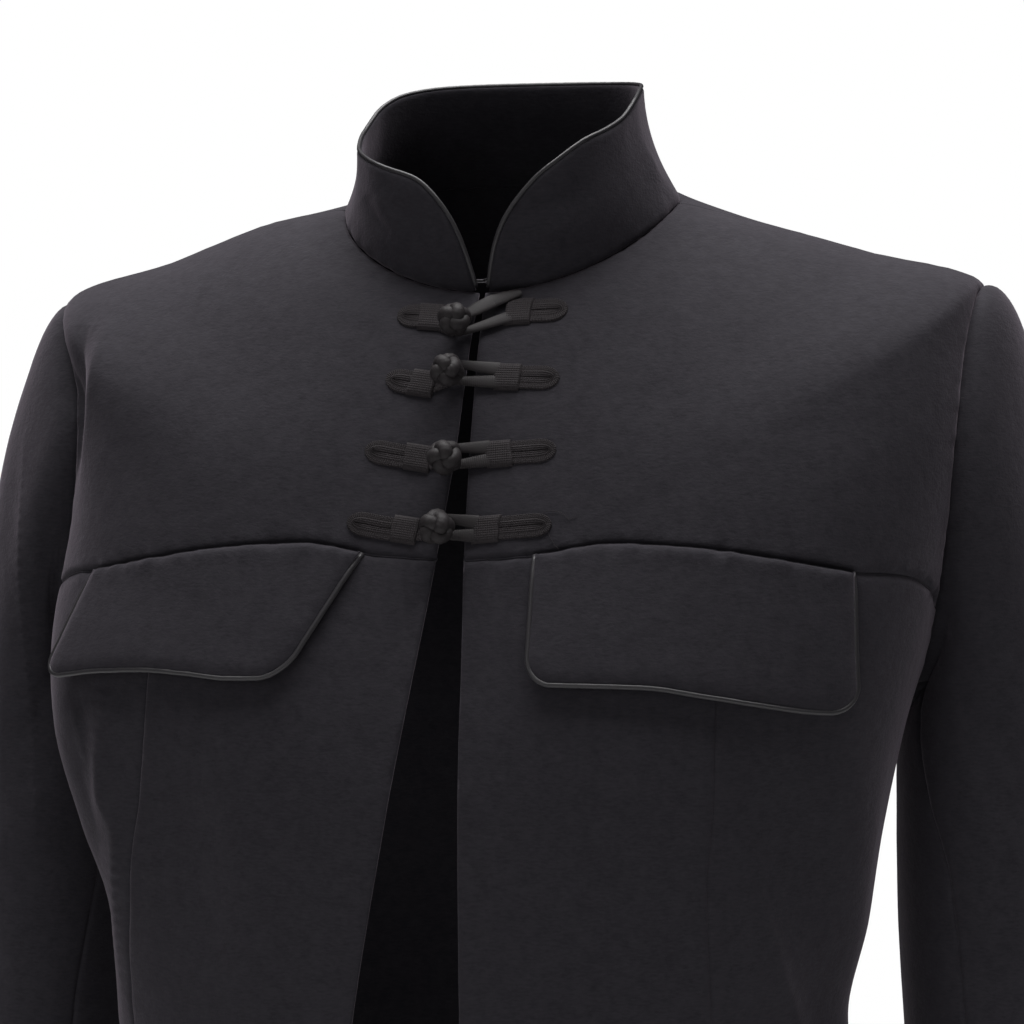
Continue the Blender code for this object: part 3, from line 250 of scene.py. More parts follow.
def smooth(xs, ys, x):
    """A curve through the table's points that never overshoots them, held level past both ends."""
    steps = np.diff(xs)
    slopes = np.diff(ys) / steps
    same_way = slopes[:-1] * slopes[1:] > 0
    total = np.where(same_way, slopes[:-1] + slopes[1:], 1.0)
    inner = np.where(same_way, 2 * slopes[:-1] * slopes[1:] / total, 0.0)
    tangents = np.concatenate([slopes[:1], inner, slopes[-1:]])
    x = np.clip(x, xs[0], xs[-1])
    i = np.clip(np.searchsorted(xs, x, side="right") - 1, 0, len(steps) - 1)
    t = (x - xs[i]) / steps[i]
    rise = tangents[i] * steps[i] * t * (1 - t) ** 2 - tangents[i + 1] * steps[i] * t * t * (1 - t)
    return ys[i] * (1 + 2 * t) * (1 - t) ** 2 + ys[i + 1] * t * t * (3 - 2 * t) + rise


def from_z(table, column, z):
    """A table whose z runs downwards, read at a height."""
    return smooth(-table["z"], table[column], -np.asarray(z, float))


def torso(sheet):
    """Points of the torso form for flat points (across, up); across is 0 at the centre front."""
    sheet = np.asarray(sheet, float)
    drop = np.clip(-sheet[:, 1], 0.0, HEM_DROP)
    angle = sheet[:, 0] / TORSO_SPREAD
    ring = {name: smooth(RING["drop"], RING[name], drop) for name in RING_COLUMNS[1:]}
    ahead = np.cos(angle)
    front = ahead > 0
    square = np.where(front, ring["square_front"], ring["square_back"])
    depth = np.where(front, ring["y_side"] - ring["y_front"], ring["y_back"] - ring["y_side"])
    on_left = np.sin(angle) > 0
    wide = np.where(on_left, ring["wide_left"], ring["wide_right"])
    z_side = np.where(on_left, ring["z_left"], ring["z_right"])
    reach = np.abs(ahead / depth) ** square + np.abs(np.sin(angle) / wide) ** square
    radius = reach ** (-1 / square) + fold_height(np.degrees(angle), drop)
    x = radius * np.sin(angle)
    y = ring["y_side"] - radius * ahead
    ridge = ring["ridge"]
    shape = (np.sqrt(ahead**2 + ridge**2) - ridge) / (np.sqrt(1 + ridge**2) - ridge)
    z_end = np.where(front, ring["z_front"], ring["z_back"])
    z = z_side + (z_end - z_side) * shape
    z += ring["tilt"] * (y - ring["y_side"]) * (1 - np.abs(ahead))
    return np.column_stack([x, y, z])


def fold_height(angle, drop):
    height = np.zeros_like(drop)
    for row in TORSO_FOLDS:
        fold = dict(zip(FOLD_COLUMNS, row))
        share = np.clip((drop - fold["from_drop"]) / (fold["to_drop"] - fold["from_drop"]), 0, 1)
        centre = fold["angle"] + (fold["angle_below"] - fold["angle"]) * share
        across = np.exp(-(((angle - centre) / fold["half_width"]) ** 2))
        height += fold["height"] * across * np.sin(math.pi * share) ** 2
    return height


def armhole(turn, side):
    """Flat torso points of an armhole; turn is 0 at its top, a quarter at its front."""
    turn = np.atleast_1d(np.asarray(turn, float))
    middle = (ARMHOLE_TOP_DROP + ARMHOLE_BOTTOM_DROP) / 2
    half = (ARMHOLE_BOTTOM_DROP - ARMHOLE_TOP_DROP) / 2
    drop = middle - half * np.cos(turn)
    share = (drop - ARMHOLE_TOP_DROP) / (2 * half)
    centre = 90.0 + 16.0 * share**1.8
    degrees = np.degrees(turn) % 360.0
    pull = ARMHOLE_PULL[side] * np.exp(-(((degrees - 58.0) / 27.0) ** 2))
    half_angle = np.where(np.sin(turn) > 0, 14.5 + pull, 14.0)
    angle = np.radians(centre - half_angle * np.sin(turn))
    return np.column_stack([angle * TORSO_SPREAD * SIGN[side], -drop])


def arm_section(side, turn, z):
    ring = {name: from_z(ARM, name, z) for name in ARM_COLUMNS[1:]}
    out = ring["out_" + side] + ring["half_width"] * np.cos(turn)
    y = ring["y"] - ring["half_depth"] * np.sin(turn)
    return np.column_stack([out * SIGN[side], y, z + ring["slope"] * (y - ring["y"])])


def sleeve(side):
    """The form of one sleeve; flat across is the angle round it, down is the way from the armhole."""

    def form(sheet):
        sheet = np.asarray(sheet, float)
        turn = -sheet[:, 0] / SLEEVE_SPREAD * SIGN[side]
        down = np.maximum(-sheet[:, 1], 0.0)
        top_z = ARM["z"][0]
        t = np.clip(down / SLEEVE_CAP_LENGTH, 0.0, 1.0)[:, None]
        start = torso(armhole(turn, side))
        degrees = np.degrees(turn) % 360.0
        leave = {name: smooth(CAP["angle"], CAP[name], degrees) for name in CAP_COLUMNS[1:]}
        rise = leave["up"] + HEAD_RISE[side] * np.maximum(np.cos(turn), 0.0) ** 2
        away = np.column_stack([leave["out"] * SIGN[side], -leave["forward"], rise])
        away *= leave["pull"][:, None] * HEAD_PULL[side]
        end = arm_section(side, turn, np.full_like(turn, top_z))
        below = arm_section(side, turn, np.full_like(turn, top_z - 0.01))
        onward = (below - end) / 0.01 * SLEEVE_CAP_LENGTH
        cap = (
            start * (1 + 2 * t) * (1 - t) ** 2
            + away * t * (1 - t) ** 2
            + end * t * t * (3 - 2 * t)
            - onward * t * t * (1 - t)
        )
        arm = arm_section(side, turn, top_z - np.maximum(down - SLEEVE_CAP_LENGTH, 0.0))
        points = np.where(t < 1.0, cap, arm)
        round_arm = np.column_stack([np.cos(turn) * SIGN[side], -np.sin(turn), np.zeros_like(turn)])
        return points + round_arm * sleeve_folds(degrees, down)[:, None]

    return form


def sleeve_folds(degrees, down):
    height = np.zeros_like(down)
    for row in SLEEVE_FOLDS:
        fold = dict(zip(SLEEVE_FOLD_COLUMNS, row))
        away = (degrees - fold["angle"] + 180.0) % 360.0 - 180.0
        around = np.exp(-((away / fold["half_round"]) ** 2))
        along = np.exp(-(((down - fold["down"]) / fold["half_along"]) ** 2))
        height += fold["height"] * around * along
    return height


# Top edge of the collar round the neck, from the centre front to the wearer's left (positive) and right
RIM_COLUMNS = ("degrees", "x", "y", "z")
COLLAR_RIM = (
    (-170.0, -0.0120, 0.0305, 0.0535),
    (-145.0, -0.0380, 0.0240, 0.0520),
    (-122.0, -0.0545, 0.0105, 0.0470),
    (-105.0, -0.0610, -0.0040, 0.0380),
    (-90.0, -0.0622, -0.0200, 0.0285),
    (-75.0, -0.0600, -0.0360, 0.0210),
    (-60.0, -0.0535, -0.0500, 0.0158),
    (-45.0, -0.0440, -0.0605, 0.0112),
    (-22.0, -0.0235, -0.0680, 0.0045),
    (0.0, 0.0000, -0.0705, -0.0022),
    (22.0, 0.0240, -0.0680, 0.0050),
    (45.0, 0.0435, -0.0600, 0.0198),
    (60.0, 0.0520, -0.0480, 0.0258),
    (75.0, 0.0572, -0.0340, 0.0325),
    (90.0, 0.0592, -0.0190, 0.0415),
    (105.0, 0.0585, -0.0030, 0.0480),
    (122.0, 0.0530, 0.0105, 0.0505),
    (145.0, 0.0375, 0.0240, 0.0525),
    (170.0, 0.0120, 0.0305, 0.0535),
)
RIM = by_column(RIM_COLUMNS, COLLAR_RIM)
RIM_ROUND = np.concatenate([RIM["degrees"] + turn for turn in (-360.0, 0.0, 360.0)])


def neck_seam(angle):
    return torso(np.column_stack([angle * TORSO_SPREAD, np.zeros(len(angle))]))


def rim(angle):
    """Points of the collar's full-height top edge; angle is 0 at the centre front."""
    degrees = (np.degrees(angle) + 180.0) % 360.0 - 180.0
    return np.column_stack([smooth(RIM_ROUND, np.tile(RIM[name], 3), degrees) for name in "xyz"])


def collar(sheet):
    """Points of the collar form; flat across is 0 at the centre back, up is the height on the seam."""
    sheet = np.asarray(sheet, float)
    angle = math.pi + sheet[:, 0] / COLLAR_SPREAD
    base, top = neck_seam(angle), rim(angle)
    share = sheet[:, 1] / (top[:, 2] - base[:, 2])
    eased = 1 - (1 - share) ** 2
    x = base[:, 0] + (top[:, 0] - base[:, 0]) * eased
    y = base[:, 1] + (top[:, 1] - base[:, 1]) * (0.35 * share + 0.65 * eased)
    return np.column_stack([x, y, base[:, 2] + sheet[:, 1]])


def normals(form, sheet):
    """Unit normals of a form, out of the cloth's right side."""
    step = 1e-4
    across = form(sheet + (step, 0)) - form(sheet - (step, 0))
    up = form(sheet + (0, step)) - form(sheet - (0, step))
    normal = np.cross(across, up)
    return normal / np.linalg.norm(normal, axis=1)[:, None]


def on_front(xz):
    """Flat torso points whose cloth lies at these x and z on the jacket's front."""
    xz = np.atleast_2d(np.asarray(xz, float))
    across, up = np.meshgrid(np.linspace(-0.22, 0.22, 45), np.linspace(-0.003, -0.67, 60))
    guesses = np.column_stack([across.ravel(), up.ravel()])
    apart = torso(guesses)[:, [0, 2]] - xz[:, None]
    sheet = guesses[np.argmin(np.sum(apart**2, axis=2), axis=1)]
    step = 1e-5
    for _ in range(14):
        here = torso(sheet)[:, [0, 2]]
        by_across = (torso(sheet + (step, 0))[:, [0, 2]] - here) / step
        by_up = (torso(sheet - (0, step))[:, [0, 2]] - here) / -step
        miss = here - xz
        scale = by_across[:, 0] * by_up[:, 1] - by_up[:, 0] * by_across[:, 1]
        move_across = (miss[:, 0] * by_up[:, 1] - by_up[:, 0] * miss[:, 1]) / scale
        move_up = (by_across[:, 0] * miss[:, 1] - miss[:, 0] * by_across[:, 1]) / scale
        sheet = sheet - np.clip(np.column_stack([move_across, move_up]), -0.02, 0.02)
        sheet[:, 1] = np.clip(sheet[:, 1], 2 * step - HEM_DROP, 0.0)
    return sheet


# How each kind of edge looks: how far the cloth's face rolls down at it, over what width, half the gap
# to the neighbour, and the height and reach of the small puckers that the stitching pulls.
EDGE_LOOKS_COLUMNS = ("roll", "roll_width", "half_gap", "pucker", "pucker_reach")
EDGE_LOOKS = {
    "neck": (0.0012, 0.0024, -0.00045, 0.00040, 0.0060),
    "shoulder": (0.0006, 0.0016, -0.00030, 0.00010, 0.0060),
    "armhole": (0.0003, 0.0020, -0.00110, 0.00030, 0.0090),
    "yoke": (0.0019, 0.0030, -0.00020, 0.00060, 0.0042),
    "panel": (0.0009, 0.0020, -0.00030, 0.00016, 0.0060),
    "side": (0.0006, 0.0015, -0.00030, 0.00014, 0.0060),
    "front": (0.0009, 0.0015, 0.00020, 0.00006, 0.0050),
    "hem": (0.0009, 0.0016, 0.00000, 0.00010, 0.0080),
    "rim": (0.0010, 0.0018, 0.00000, 0.00006, 0.0040),
    "flap": (0.0014, 0.0052, 0.00000, 0.00014, 0.0060),
    "flap_top": (0.0022, 0.0034, 0.00010, 0.00070, 0.0042),
}
PUCKER_SIZE = 0.0050

# Creases fade out this close to an armhole. Those with a half width up to SHARP get a finer mesh within
# SHARP_REACH times their half width.
ARMHOLE_FADE = 0.0030
SHARP = 0.0062
SHARP_REACH = 1.8

# Slow unevenness of all the cloth: height and size of the waves
CLOTH_WAVES = ((0.00045, 0.055), (0.00012, 0.017))


def rows_of(columns, rows):
    """Each row of a table as a dictionary."""
    return [dict(zip(columns, row)) for row in rows]


def inward(outline):
    """Unit vectors into a counter-clockwise outline from each of its points."""
    before = unit(outline - np.roll(outline, 1, axis=0))
    after = unit(np.roll(outline, -1, axis=0) - outline)
    along = unit(before + after)
    return np.column_stack([-along[:, 1], along[:, 0]])


def unit(vectors):
    return vectors / np.maximum(np.linalg.norm(vectors, axis=-1, keepdims=True), 1e-12)


def area_of(outline):
    after = np.roll(outline, -1, axis=0)
    return 0.5 * np.sum(outline[:, 0] * after[:, 1] - after[:, 0] * outline[:, 1])


def joined(*runs):
    """One closed counter-clockwise outline from (kind of edge, points) runs, with each point's kind."""
    points = np.concatenate([np.asarray(run) for _, run in runs])
    kinds = np.concatenate([[kind] * len(run) for kind, run in runs])
    apart = np.linalg.norm(points - np.roll(points, 1, axis=0), axis=1) > 1e-6
    points, kinds = points[apart], kinds[apart]
    return (points, kinds) if area_of(points) > 0 else (points[::-1], kinds[::-1])


def inside(outline, points):
    after = np.roll(outline, -1, axis=0)
    found = np.zeros(len(points), bool)
    rise = np.where(after[:, 1] == outline[:, 1], 1.0, after[:, 1] - outline[:, 1])
    for start in range(0, len(points), 4000):
        x, y = points[start:start + 4000, :1], points[start:start + 4000, 1:]
        crosses = (outline[:, 1] > y) != (after[:, 1] > y)
        edge_x = outline[:, 0] + (y - outline[:, 1]) * (after[:, 0] - outline[:, 0]) / rise
        found[start:start + 4000] = np.sum(crosses & (x < edge_x), axis=1) % 2 == 1
    return found


def resampled(outline, spacing):
    """Points this far apart along a closed outline, and the outline point that each follows."""
    points, after = [], np.roll(outline, -1, axis=0)
    owners = []
    for i, (a, b) in enumerate(zip(outline, after)):
        count = max(1, int(np.linalg.norm(b - a) / spacing))
        for k in range(count):
            points.append(a + (b - a) * k / count)
            owners.append(i)
    return np.array(points), np.array(owners)


def nearest(targets, points):
    """For each point its nearest target's index and distance."""
    tree = kdtree.KDTree(len(targets))
    for i, place in enumerate(targets):
        tree.insert(Vector((*place, 0.0)[:3]), i)
    tree.balance()
    found = [tree.find(Vector((*place, 0.0)[:3])) for place in points]
    return np.array([hit[1] for hit in found]), np.array([hit[2] for hit in found])


def even_lattice(outline, step):
    low, high = outline.min(axis=0), outline.max(axis=0)
    rows = np.arange(low[1] + step / 2, high[1], step * 0.87)
    columns = np.arange(low[0] + step / 2, high[0], step)
    lattice = np.array([(x + (step / 2 if i % 2 else 0.0), y) for i, y in enumerate(rows) for x in columns])
    return lattice[inside(outline, lattice)]


def cut(outline, step, sharp):
    """A flat piece as triangles: its outline's points, rings just inside them, then an even lattice.

    The lattice is three times as fine where sharp(points) says that a sharp crease runs.
    """
    dense, _ = resampled(outline, 0.0006)
    lattice = even_lattice(outline, step)
    creased = sharp(lattice)
    if creased.any():
        fine = even_lattice(outline, step / 3)
        lattice = np.concatenate([lattice[~creased], fine[sharp(fine)]])
    lattice = lattice[nearest(dense, lattice)[1] > SEAM_RINGS[-1] + 0.0009]
    layers = [outline]
    into = inward(outline)
    for depth in SEAM_RINGS:
        ring = outline + into * depth
        ring = ring[inside(outline, ring)]
        layers.append(ring[nearest(dense, ring)[1] > 0.9 * depth])
    layers.append(lattice)
    points = np.concatenate(layers)
    found = delaunay_2d_cdt([Vector(p) for p in points], [], [list(range(len(outline)))], 1, 1e-9)
    source = [ids[0] for ids in found[3]]
    faces = np.array([[source[i] for i in face] for face in found[2]])
    a, b, c = (points[faces[:, k]] for k in range(3))
    turned = (b[:, 0] - a[:, 0]) * (c[:, 1] - a[:, 1]) < (b[:, 1] - a[:, 1]) * (c[:, 0] - a[:, 0])
    faces[turned] = faces[turned][:, ::-1]
    return points, faces


def noise_at(points, size, seed=0.0):
    return np.array([noise.noise(Vector(p) / size + Vector((seed, 0.0, 0.0))) for p in points])


def waves(points):
    height = np.zeros(len(points))
    for rise, size in CLOTH_WAVES:
        height += rise * noise_at(points, size, 7.0)
    return height


def edge_relief(kinds, hits, away, spots):
    """Roll and puckers beside each edge: its kind, the nearest edge point and the distance to it."""
    looks = {name: np.array([EDGE_LOOKS[kind][i] for kind in kinds])[hits]
             for i, name in enumerate(EDGE_LOOKS_COLUMNS)}
    roll = -looks["roll"] * (1 - np.clip(away / looks["roll_width"], 0, 1)) ** 2
    near = away < 3 * looks["pucker_reach"]
    pucker = np.zeros(len(away))
    pucker[near] = noise_at(spots[near], PUCKER_SIZE)
    pucker *= looks["pucker"] * 2 * np.exp(-((away / looks["pucker_reach"]) ** 2))
    return roll, pucker


def add_mesh(name, points, faces, material):
    mesh = bpy.data.meshes.new(name)
    mesh.from_pydata(np.asarray(points).tolist(), [], [list(map(int, face)) for face in faces])
    mesh.shade_smooth()
    mesh.materials.append(MATERIAL[material])
    obj = bpy.data.objects.new(name, mesh)
    COLLECTION.objects.link(obj)
    return obj


def seat(obj, nodes, slot):
    """Puts a finished piece on the jacket in place of its solid."""
    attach(obj, "root")
    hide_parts(*nodes)
    return obj


def wall(name, form, outline, kinds, step, thick=CLOTH, lift=None, creases=(), slot="wool"):
    """A cloth piece with a rolled edge all round, seam puckers, creases and slow waves."""
    sheet, faces = cut(outline, step, lambda spots: near_sharp(creases, form, spots))
    count, total = len(outline), len(sheet)
    normal = normals(form, sheet)
    skin = form(sheet)
    dense, owners = resampled(skin[:count], 0.0007)
    hits, away = nearest(dense, skin)
    roll, pucker = edge_relief(kinds, owners[hits], away, dense[hits])
    half_gap = np.array([EDGE_LOOKS[kind][2] for kind in kinds])
    skin[:count] += inward_3d(skin[:count], normal[:count]) * half_gap[:, None]
    beside_arm = np.array(kinds)[owners[hits]] == "armhole"
    open_cloth = np.where(beside_arm, np.clip(away / ARMHOLE_FADE, 0, 1), 1.0)
    height = pucker + waves(skin) + crease_height(creases, skin, normal) * open_cloth
    inner = height - thick - 0.5 * roll
    if lift is not None:
        base = lift(sheet) + thick
        height, inner = height + base, inner + base
    points = np.concatenate([skin + normal * (height + roll)[:, None], skin + normal * inner[:, None]])
    rim = np.arange(count)
    after = (rim + 1) % count
    solid = list(faces) + list(faces[:, ::-1] + total)
    solid += list(np.column_stack([after, rim, rim + total, after + total]))
    obj = add_mesh(name + "_cloth", points, solid, slot)
    return seat(obj, [name], slot)


def inward_3d(rim, normal):
    before = unit(rim - np.roll(rim, 1, axis=0))
    after = unit(np.roll(rim, -1, axis=0) - rim)
    return unit(np.cross(normal, unit(before + after)))


# Main creases of the cloth. Each runs along a path over (x, z) of a face of the jacket,
# "front" or "back", with its half width, its height at the middle, and how peaked its crest is: 2 is
# soft, towards 1 is sharp.
CREASE_COLUMNS = ("face", "half_width", "height", "peak", "path")
TORSO_CREASES = (
    ("front", 0.0062, -0.0050, 1.4, ((-0.1800, -0.0520), (-0.1818, -0.0820), (-0.1806, -0.1190))),
    ("front", 0.0050, 0.0022, 1.4, ((-0.1690, -0.0560), (-0.1712, -0.0880), (-0.1765, -0.1180))),
    ("front", 0.0110, 0.0012, 2.0, ((-0.1600, -0.0600), (-0.1620, -0.0900), (-0.1660, -0.1320))),
    ("front", 0.0200, -0.0012, 2.0, ((-0.0900, -0.0500), (-0.1150, -0.0850), (-0.1400, -0.1150))),
    ("front", 0.0180, -0.0010, 2.0, ((0.0900, -0.0450), (0.1200, -0.0800), (0.1500, -0.1200))),
    ("front", 0.0130, 0.0012, 2.0, ((0.1500, -0.1000), (0.1560, -0.1300), (0.1520, -0.1600))),
    ("front", 0.0200, 0.0014, 2.0, ((-0.0400, -0.0700), (-0.0620, -0.1000), (-0.0700, -0.1350))),
    ("front", 0.0220, 0.0012, 2.0, ((0.0450, -0.0700), (0.0600, -0.1000), (0.0800, -0.1300))),
    ("front", 0.0060, 0.0034, 1.3, (
        (-0.1500, -0.2050), (-0.1547, -0.2371), (-0.1543, -0.2509), (-0.1460, -0.2693),
        (-0.1493, -0.3031), (-0.1510, -0.3400),
    )),
    ("front", 0.0070, -0.0026, 1.7, ((-0.1650, -0.2080), (-0.1625, -0.2450), (-0.1570, -0.2850))),
    ("front", 0.0035, 0.0012, 1.4, ((-0.1690, -0.2150), (-0.1647, -0.2288), (-0.1610, -0.2520))),
    ("front", 0.0160, -0.0036, 2.0, ((0.1280, -0.2300), (0.1351, -0.2691), (0.1430, -0.3080))),
    ("front", 0.0100, -0.0026, 1.8, ((0.1400, -0.2050), (0.1480, -0.2200), (0.1530, -0.2500))),
    ("front", 0.0042, 0.0026, 1.3, ((0.1270, -0.2950), (0.1320, -0.3300), (0.1390, -0.3650))),
    ("front", 0.0080, 0.0020, 1.8, ((0.1600, -0.2150), (0.1590, -0.2600), (0.1540, -0.3100))),
    ("front", 0.0140, 0.0012, 2.0, ((-0.0900, -0.2200), (-0.0850, -0.3000), (-0.0800, -0.4000))),
    ("front", 0.0160, -0.0014, 2.0, ((0.0500, -0.2300), (0.0560, -0.3100), (0.0600, -0.4300))),
    ("front", 0.0120, -0.0018, 2.0, ((-0.1180, -0.4200), (-0.1120, -0.5000), (-0.1150, -0.6300))),
    ("front", 0.0130, 0.0018, 2.0, ((0.0950, -0.4000), (0.0900, -0.4900), (0.0920, -0.6300))),
    ("back", 0.0160, 0.0022, 2.0, ((0.0200, -0.0350), (0.0800, -0.0480), (0.1350, -0.0500))),
    ("back", 0.0160, 0.0018, 2.0, ((-0.0150, -0.0420), (-0.0700, -0.0560), (-0.1250, -0.0520))),
    ("back", 0.0180, -0.0024, 2.0, ((0.1200, -0.1000), (0.1150, -0.1700), (0.0980, -0.2500))),
    ("back", 0.0170, -0.0020, 2.0, ((-0.1230, -0.1100), (-0.1120, -0.1850), (-0.0950, -0.2700))),
    ("back", 0.0100, 0.0024, 1.7, ((0.0250, -0.3050), (0.0900, -0.3300), (0.1350, -0.3250))),
    ("back", 0.0090, 0.0020, 1.6, ((-0.0300, -0.3400), (-0.0800, -0.3620), (-0.1400, -0.3500))),
    ("back", 0.0110, -0.0020, 1.8, ((0.0200, -0.3300), (0.0700, -0.3560), (0.1250, -0.3640))),
    ("back", 0.0140, 0.0022, 2.0, ((0.0600, -0.4100), (0.0700, -0.5000), (0.0660, -0.6300))),
    ("back", 0.0150, -0.0020, 2.0, ((-0.0900, -0.4300), (-0.0980, -0.5200), (-0.1000, -0.6300))),
)
SLEEVE_CREASES = (
    ("front", 0.0060, -0.0016, 1.7, ((0.1850, -0.1750), (0.2030, -0.2150), (0.2200, -0.2400))),
    ("front", 0.0090, 0.0016, 2.0, ((0.1900, -0.2300), (0.2120, -0.2700), (0.2350, -0.2850))),
    ("front", 0.0080, -0.0014, 1.8, ((0.1880, -0.3050), (0.2100, -0.3250), (0.2400, -0.3180))),
    ("front", 0.0100, 0.0020, 1.8, ((0.1920, -0.3600), (0.2200, -0.3800), (0.2450, -0.3700))),
    ("front", 0.0080, -0.0018, 1.7, ((0.2000, -0.4100), (0.2200, -0.4250), (0.2450, -0.4200))),
    ("front", 0.0120, 0.0012, 2.0, ((0.2050, -0.5000), (0.2250, -0.5150), (0.2480, -0.5050))),
    ("back", 0.0100, 0.0022, 2.0, ((0.1900, -0.1500), (0.2050, -0.2050), (0.2100, -0.2600))),
    ("back", 0.0090, -0.0022, 1.7, ((0.1850, -0.3000), (0.2100, -0.3220), (0.2350, -0.3150))),
    ("back", 0.0100, 0.0022, 1.8, ((0.1900, -0.3350), (0.2150, -0.3520), (0.2420, -0.3420))),
    ("back", 0.0080, -0.0016, 1.8, ((0.1950, -0.3800), (0.2180, -0.3950), (0.2400, -0.3900))),
)
RIGHT_SLEEVE_CREASES = (
    ("front", 0.0020, 0.0013, 1.3, (
        (-0.2128, -0.1000), (-0.2115, -0.1580), (-0.2090, -0.2185), (-0.2068, -0.2800),
    )),
    ("front", 0.0080, 0.0016, 2.0, ((-0.2270, -0.0700), (-0.2300, -0.1200), (-0.2290, -0.1900))),
    ("front", 0.0070, -0.0018, 1.8, ((-0.1960, -0.1100), (-0.1980, -0.1700), (-0.1960, -0.2400))),
)
COLLAR_CREASES = (
    ("front", 0.0040, -0.0017, 1.6, ((-0.0548, 0.0000), (-0.0480, -0.0100), (-0.0395, -0.0170))),
    ("front", 0.0060, -0.0015, 1.8, ((-0.0385, -0.0030), (-0.0290, -0.0140), (-0.0195, -0.0245))),
    ("front", 0.0040, 0.0010, 1.8, ((-0.0470, 0.0000), (-0.0380, -0.0120), (-0.0300, -0.0230))),
    ("front", 0.0070, -0.0017, 1.9, (
        (0.0110, -0.0205), (0.0237, -0.0088), (0.0383, -0.0037), (0.0495, 0.0140),
    )),
    ("front", 0.0026, 0.0014, 1.3, ((0.0632, 0.0330), (0.0640, 0.0190), (0.0660, 0.0060))),
    ("front", 0.0090, 0.0008, 2.0, ((0.0300, -0.0200), (0.0450, -0.0100), (0.0560, 0.0100))),
    ("back", 0.0080, 0.0010, 2.0, ((-0.0350, 0.0200), (0.0000, 0.0260), (0.0350, 0.0210))),
    ("back", 0.0060, -0.0009, 1.8, ((-0.0450, 0.0100), (-0.0350, 0.0250), (-0.0280, 0.0400))),
)


def crease_places(crease, skin):
    """Each point's distance from a crease's path over x and z, and the nearest of its 33 places."""
    path = np.array(crease["path"])
    ends, steps = np.arange(len(path)), np.linspace(0, len(path) - 1, 33)
    curve = np.column_stack([smooth(ends, path[:, i], steps) for i in range(2)])
    apart = np.linalg.norm(skin[:, None, [0, 2]] - curve[None], axis=2)
    return apart.min(axis=1), apart.argmin(axis=1)


def near_sharp(creases, form, spots):
    """Which flat points lie on or beside a sharp crease."""
    found = np.zeros(len(spots), bool)
    for crease in rows_of(CREASE_COLUMNS, creases):
        if crease["half_width"] <= SHARP:
            found |= crease_places(crease, form(spots))[0] < SHARP_REACH * crease["half_width"]
    return found


def crease_height(creases, skin, normal):
    """How far the creases stand out of the cloth at each point."""
    height = np.zeros(len(skin))
    for crease in rows_of(CREASE_COLUMNS, creases):
        facing = -normal[:, 1] if crease["face"] == "front" else normal[:, 1]
        turned = np.clip(facing / 0.2, 0, 1)
        apart, best = crease_places(crease, skin)
        fade = np.sin(math.pi * (0.04 + 0.92 * best / 32)) ** 0.8
        across = np.exp(-((apart / crease["half_width"]) ** crease["peak"]))
        height += crease["height"] * across * fade * turned
    return height


def mirrored(creases):
    return tuple((*row[:-1], tuple((-x, z) for x, z in row[-1])) for row in creases)


def round_tube(path, radius, sides=10, wobble=0.0):
    """Points and faces of a closed round tube along a path; the radius may be one for each point."""
    path = np.asarray(path, float)
    radius = np.broadcast_to(np.asarray(radius, float), (len(path),))
    along = unit(np.gradient(path, axis=0))
    side = unit(np.cross(along[0], (0.13, 0.37, 0.92)))
    rings = []
    for i, direction in enumerate(along):
        side = unit(side - direction * np.dot(side, direction))
        other = np.cross(direction, side)
        turn = np.arange(sides)[:, None] * 2 * math.pi / sides
        swell = radius[i] * (1 + wobble * math.sin(1.9 * i) * np.cos(turn + 0.7 * i))
        rings.append(path[i] + (side * np.cos(turn) + other * np.sin(turn)) * swell)
    return rings_mesh(rings)


def rings_mesh(rings):
    """Faces between rings of equal length, with both ends closed."""
    sides = len(rings[0])
    faces = [list(range(sides))[::-1], [(len(rings) - 1) * sides + j for j in range(sides)]]
    for i in range(len(rings) - 1):
        for j in range(sides):
            after = (j + 1) % sides
            faces.append([i * sides + j, i * sides + after, (i + 1) * sides + after, (i + 1) * sides + j])
    return np.concatenate(rings), faces


def together(*parts):
    """One set of points and faces from several."""
    points, faces, start = [], [], 0
    for part_points, part_faces in parts:
        points.append(part_points)
        faces += [[i + start for i in face] for face in part_faces]
        start += len(part_points)
    return np.concatenate(points), faces


def between(start, end, count):
    return np.linspace(start, end, count * FINER + 1)


# Seam lines on the flat torso sheet, as in the solids; side is "left" or "right"
def edge_run(side, top_z, bottom_z, count):
    z = between(top_z, bottom_z, count)
    return on_front(np.column_stack([from_z(EDGE, side + "_x", z), z]))


def neck_corner(side):
    corner = edge_run(side, EDGE["z"][0], EDGE["z"][0] - 0.001, 1)[0]
    return np.array([corner[0], 0.0])


def neck_run(side, count):
    """Along the neck seam from the centre front to the shoulder seam."""
    start = neck_corner(side)[0]
    side_angle = math.copysign(math.pi / 2, start) * TORSO_SPREAD
    across = between(start, side_angle, count)
    return np.column_stack([across, np.zeros(len(across))])


def back_neck_run(side, count):
    across = between(math.pi / 2, math.pi, count) * TORSO_SPREAD * SIGN[side]
    return np.column_stack([across, np.zeros(len(across))])


def shoulder_run(side, count):
    drop = between(0.0, ARMHOLE_TOP_DROP, count)
    return np.column_stack([np.full(len(drop), math.pi / 2 * TORSO_SPREAD * SIGN[side]), -drop])


def armhole_run(side, first, last):
    return armhole(np.arange(first, last + 1) * 2 * math.pi / ARMHOLE_POINTS, side)


def side_run(side, count):
    across = armhole(math.pi, side)[0, 0]
    drop = between(ARMHOLE_BOTTOM_DROP, HEM_DROP, count)
    return np.column_stack([np.full(len(drop), across), -drop])


def yoke_run(side, from_x, to_x, count):
    x = between(from_x, to_x, count)
    return on_front(np.column_stack([x, smooth(YOKE["x"], YOKE["z"], x * SIGN[side])]))


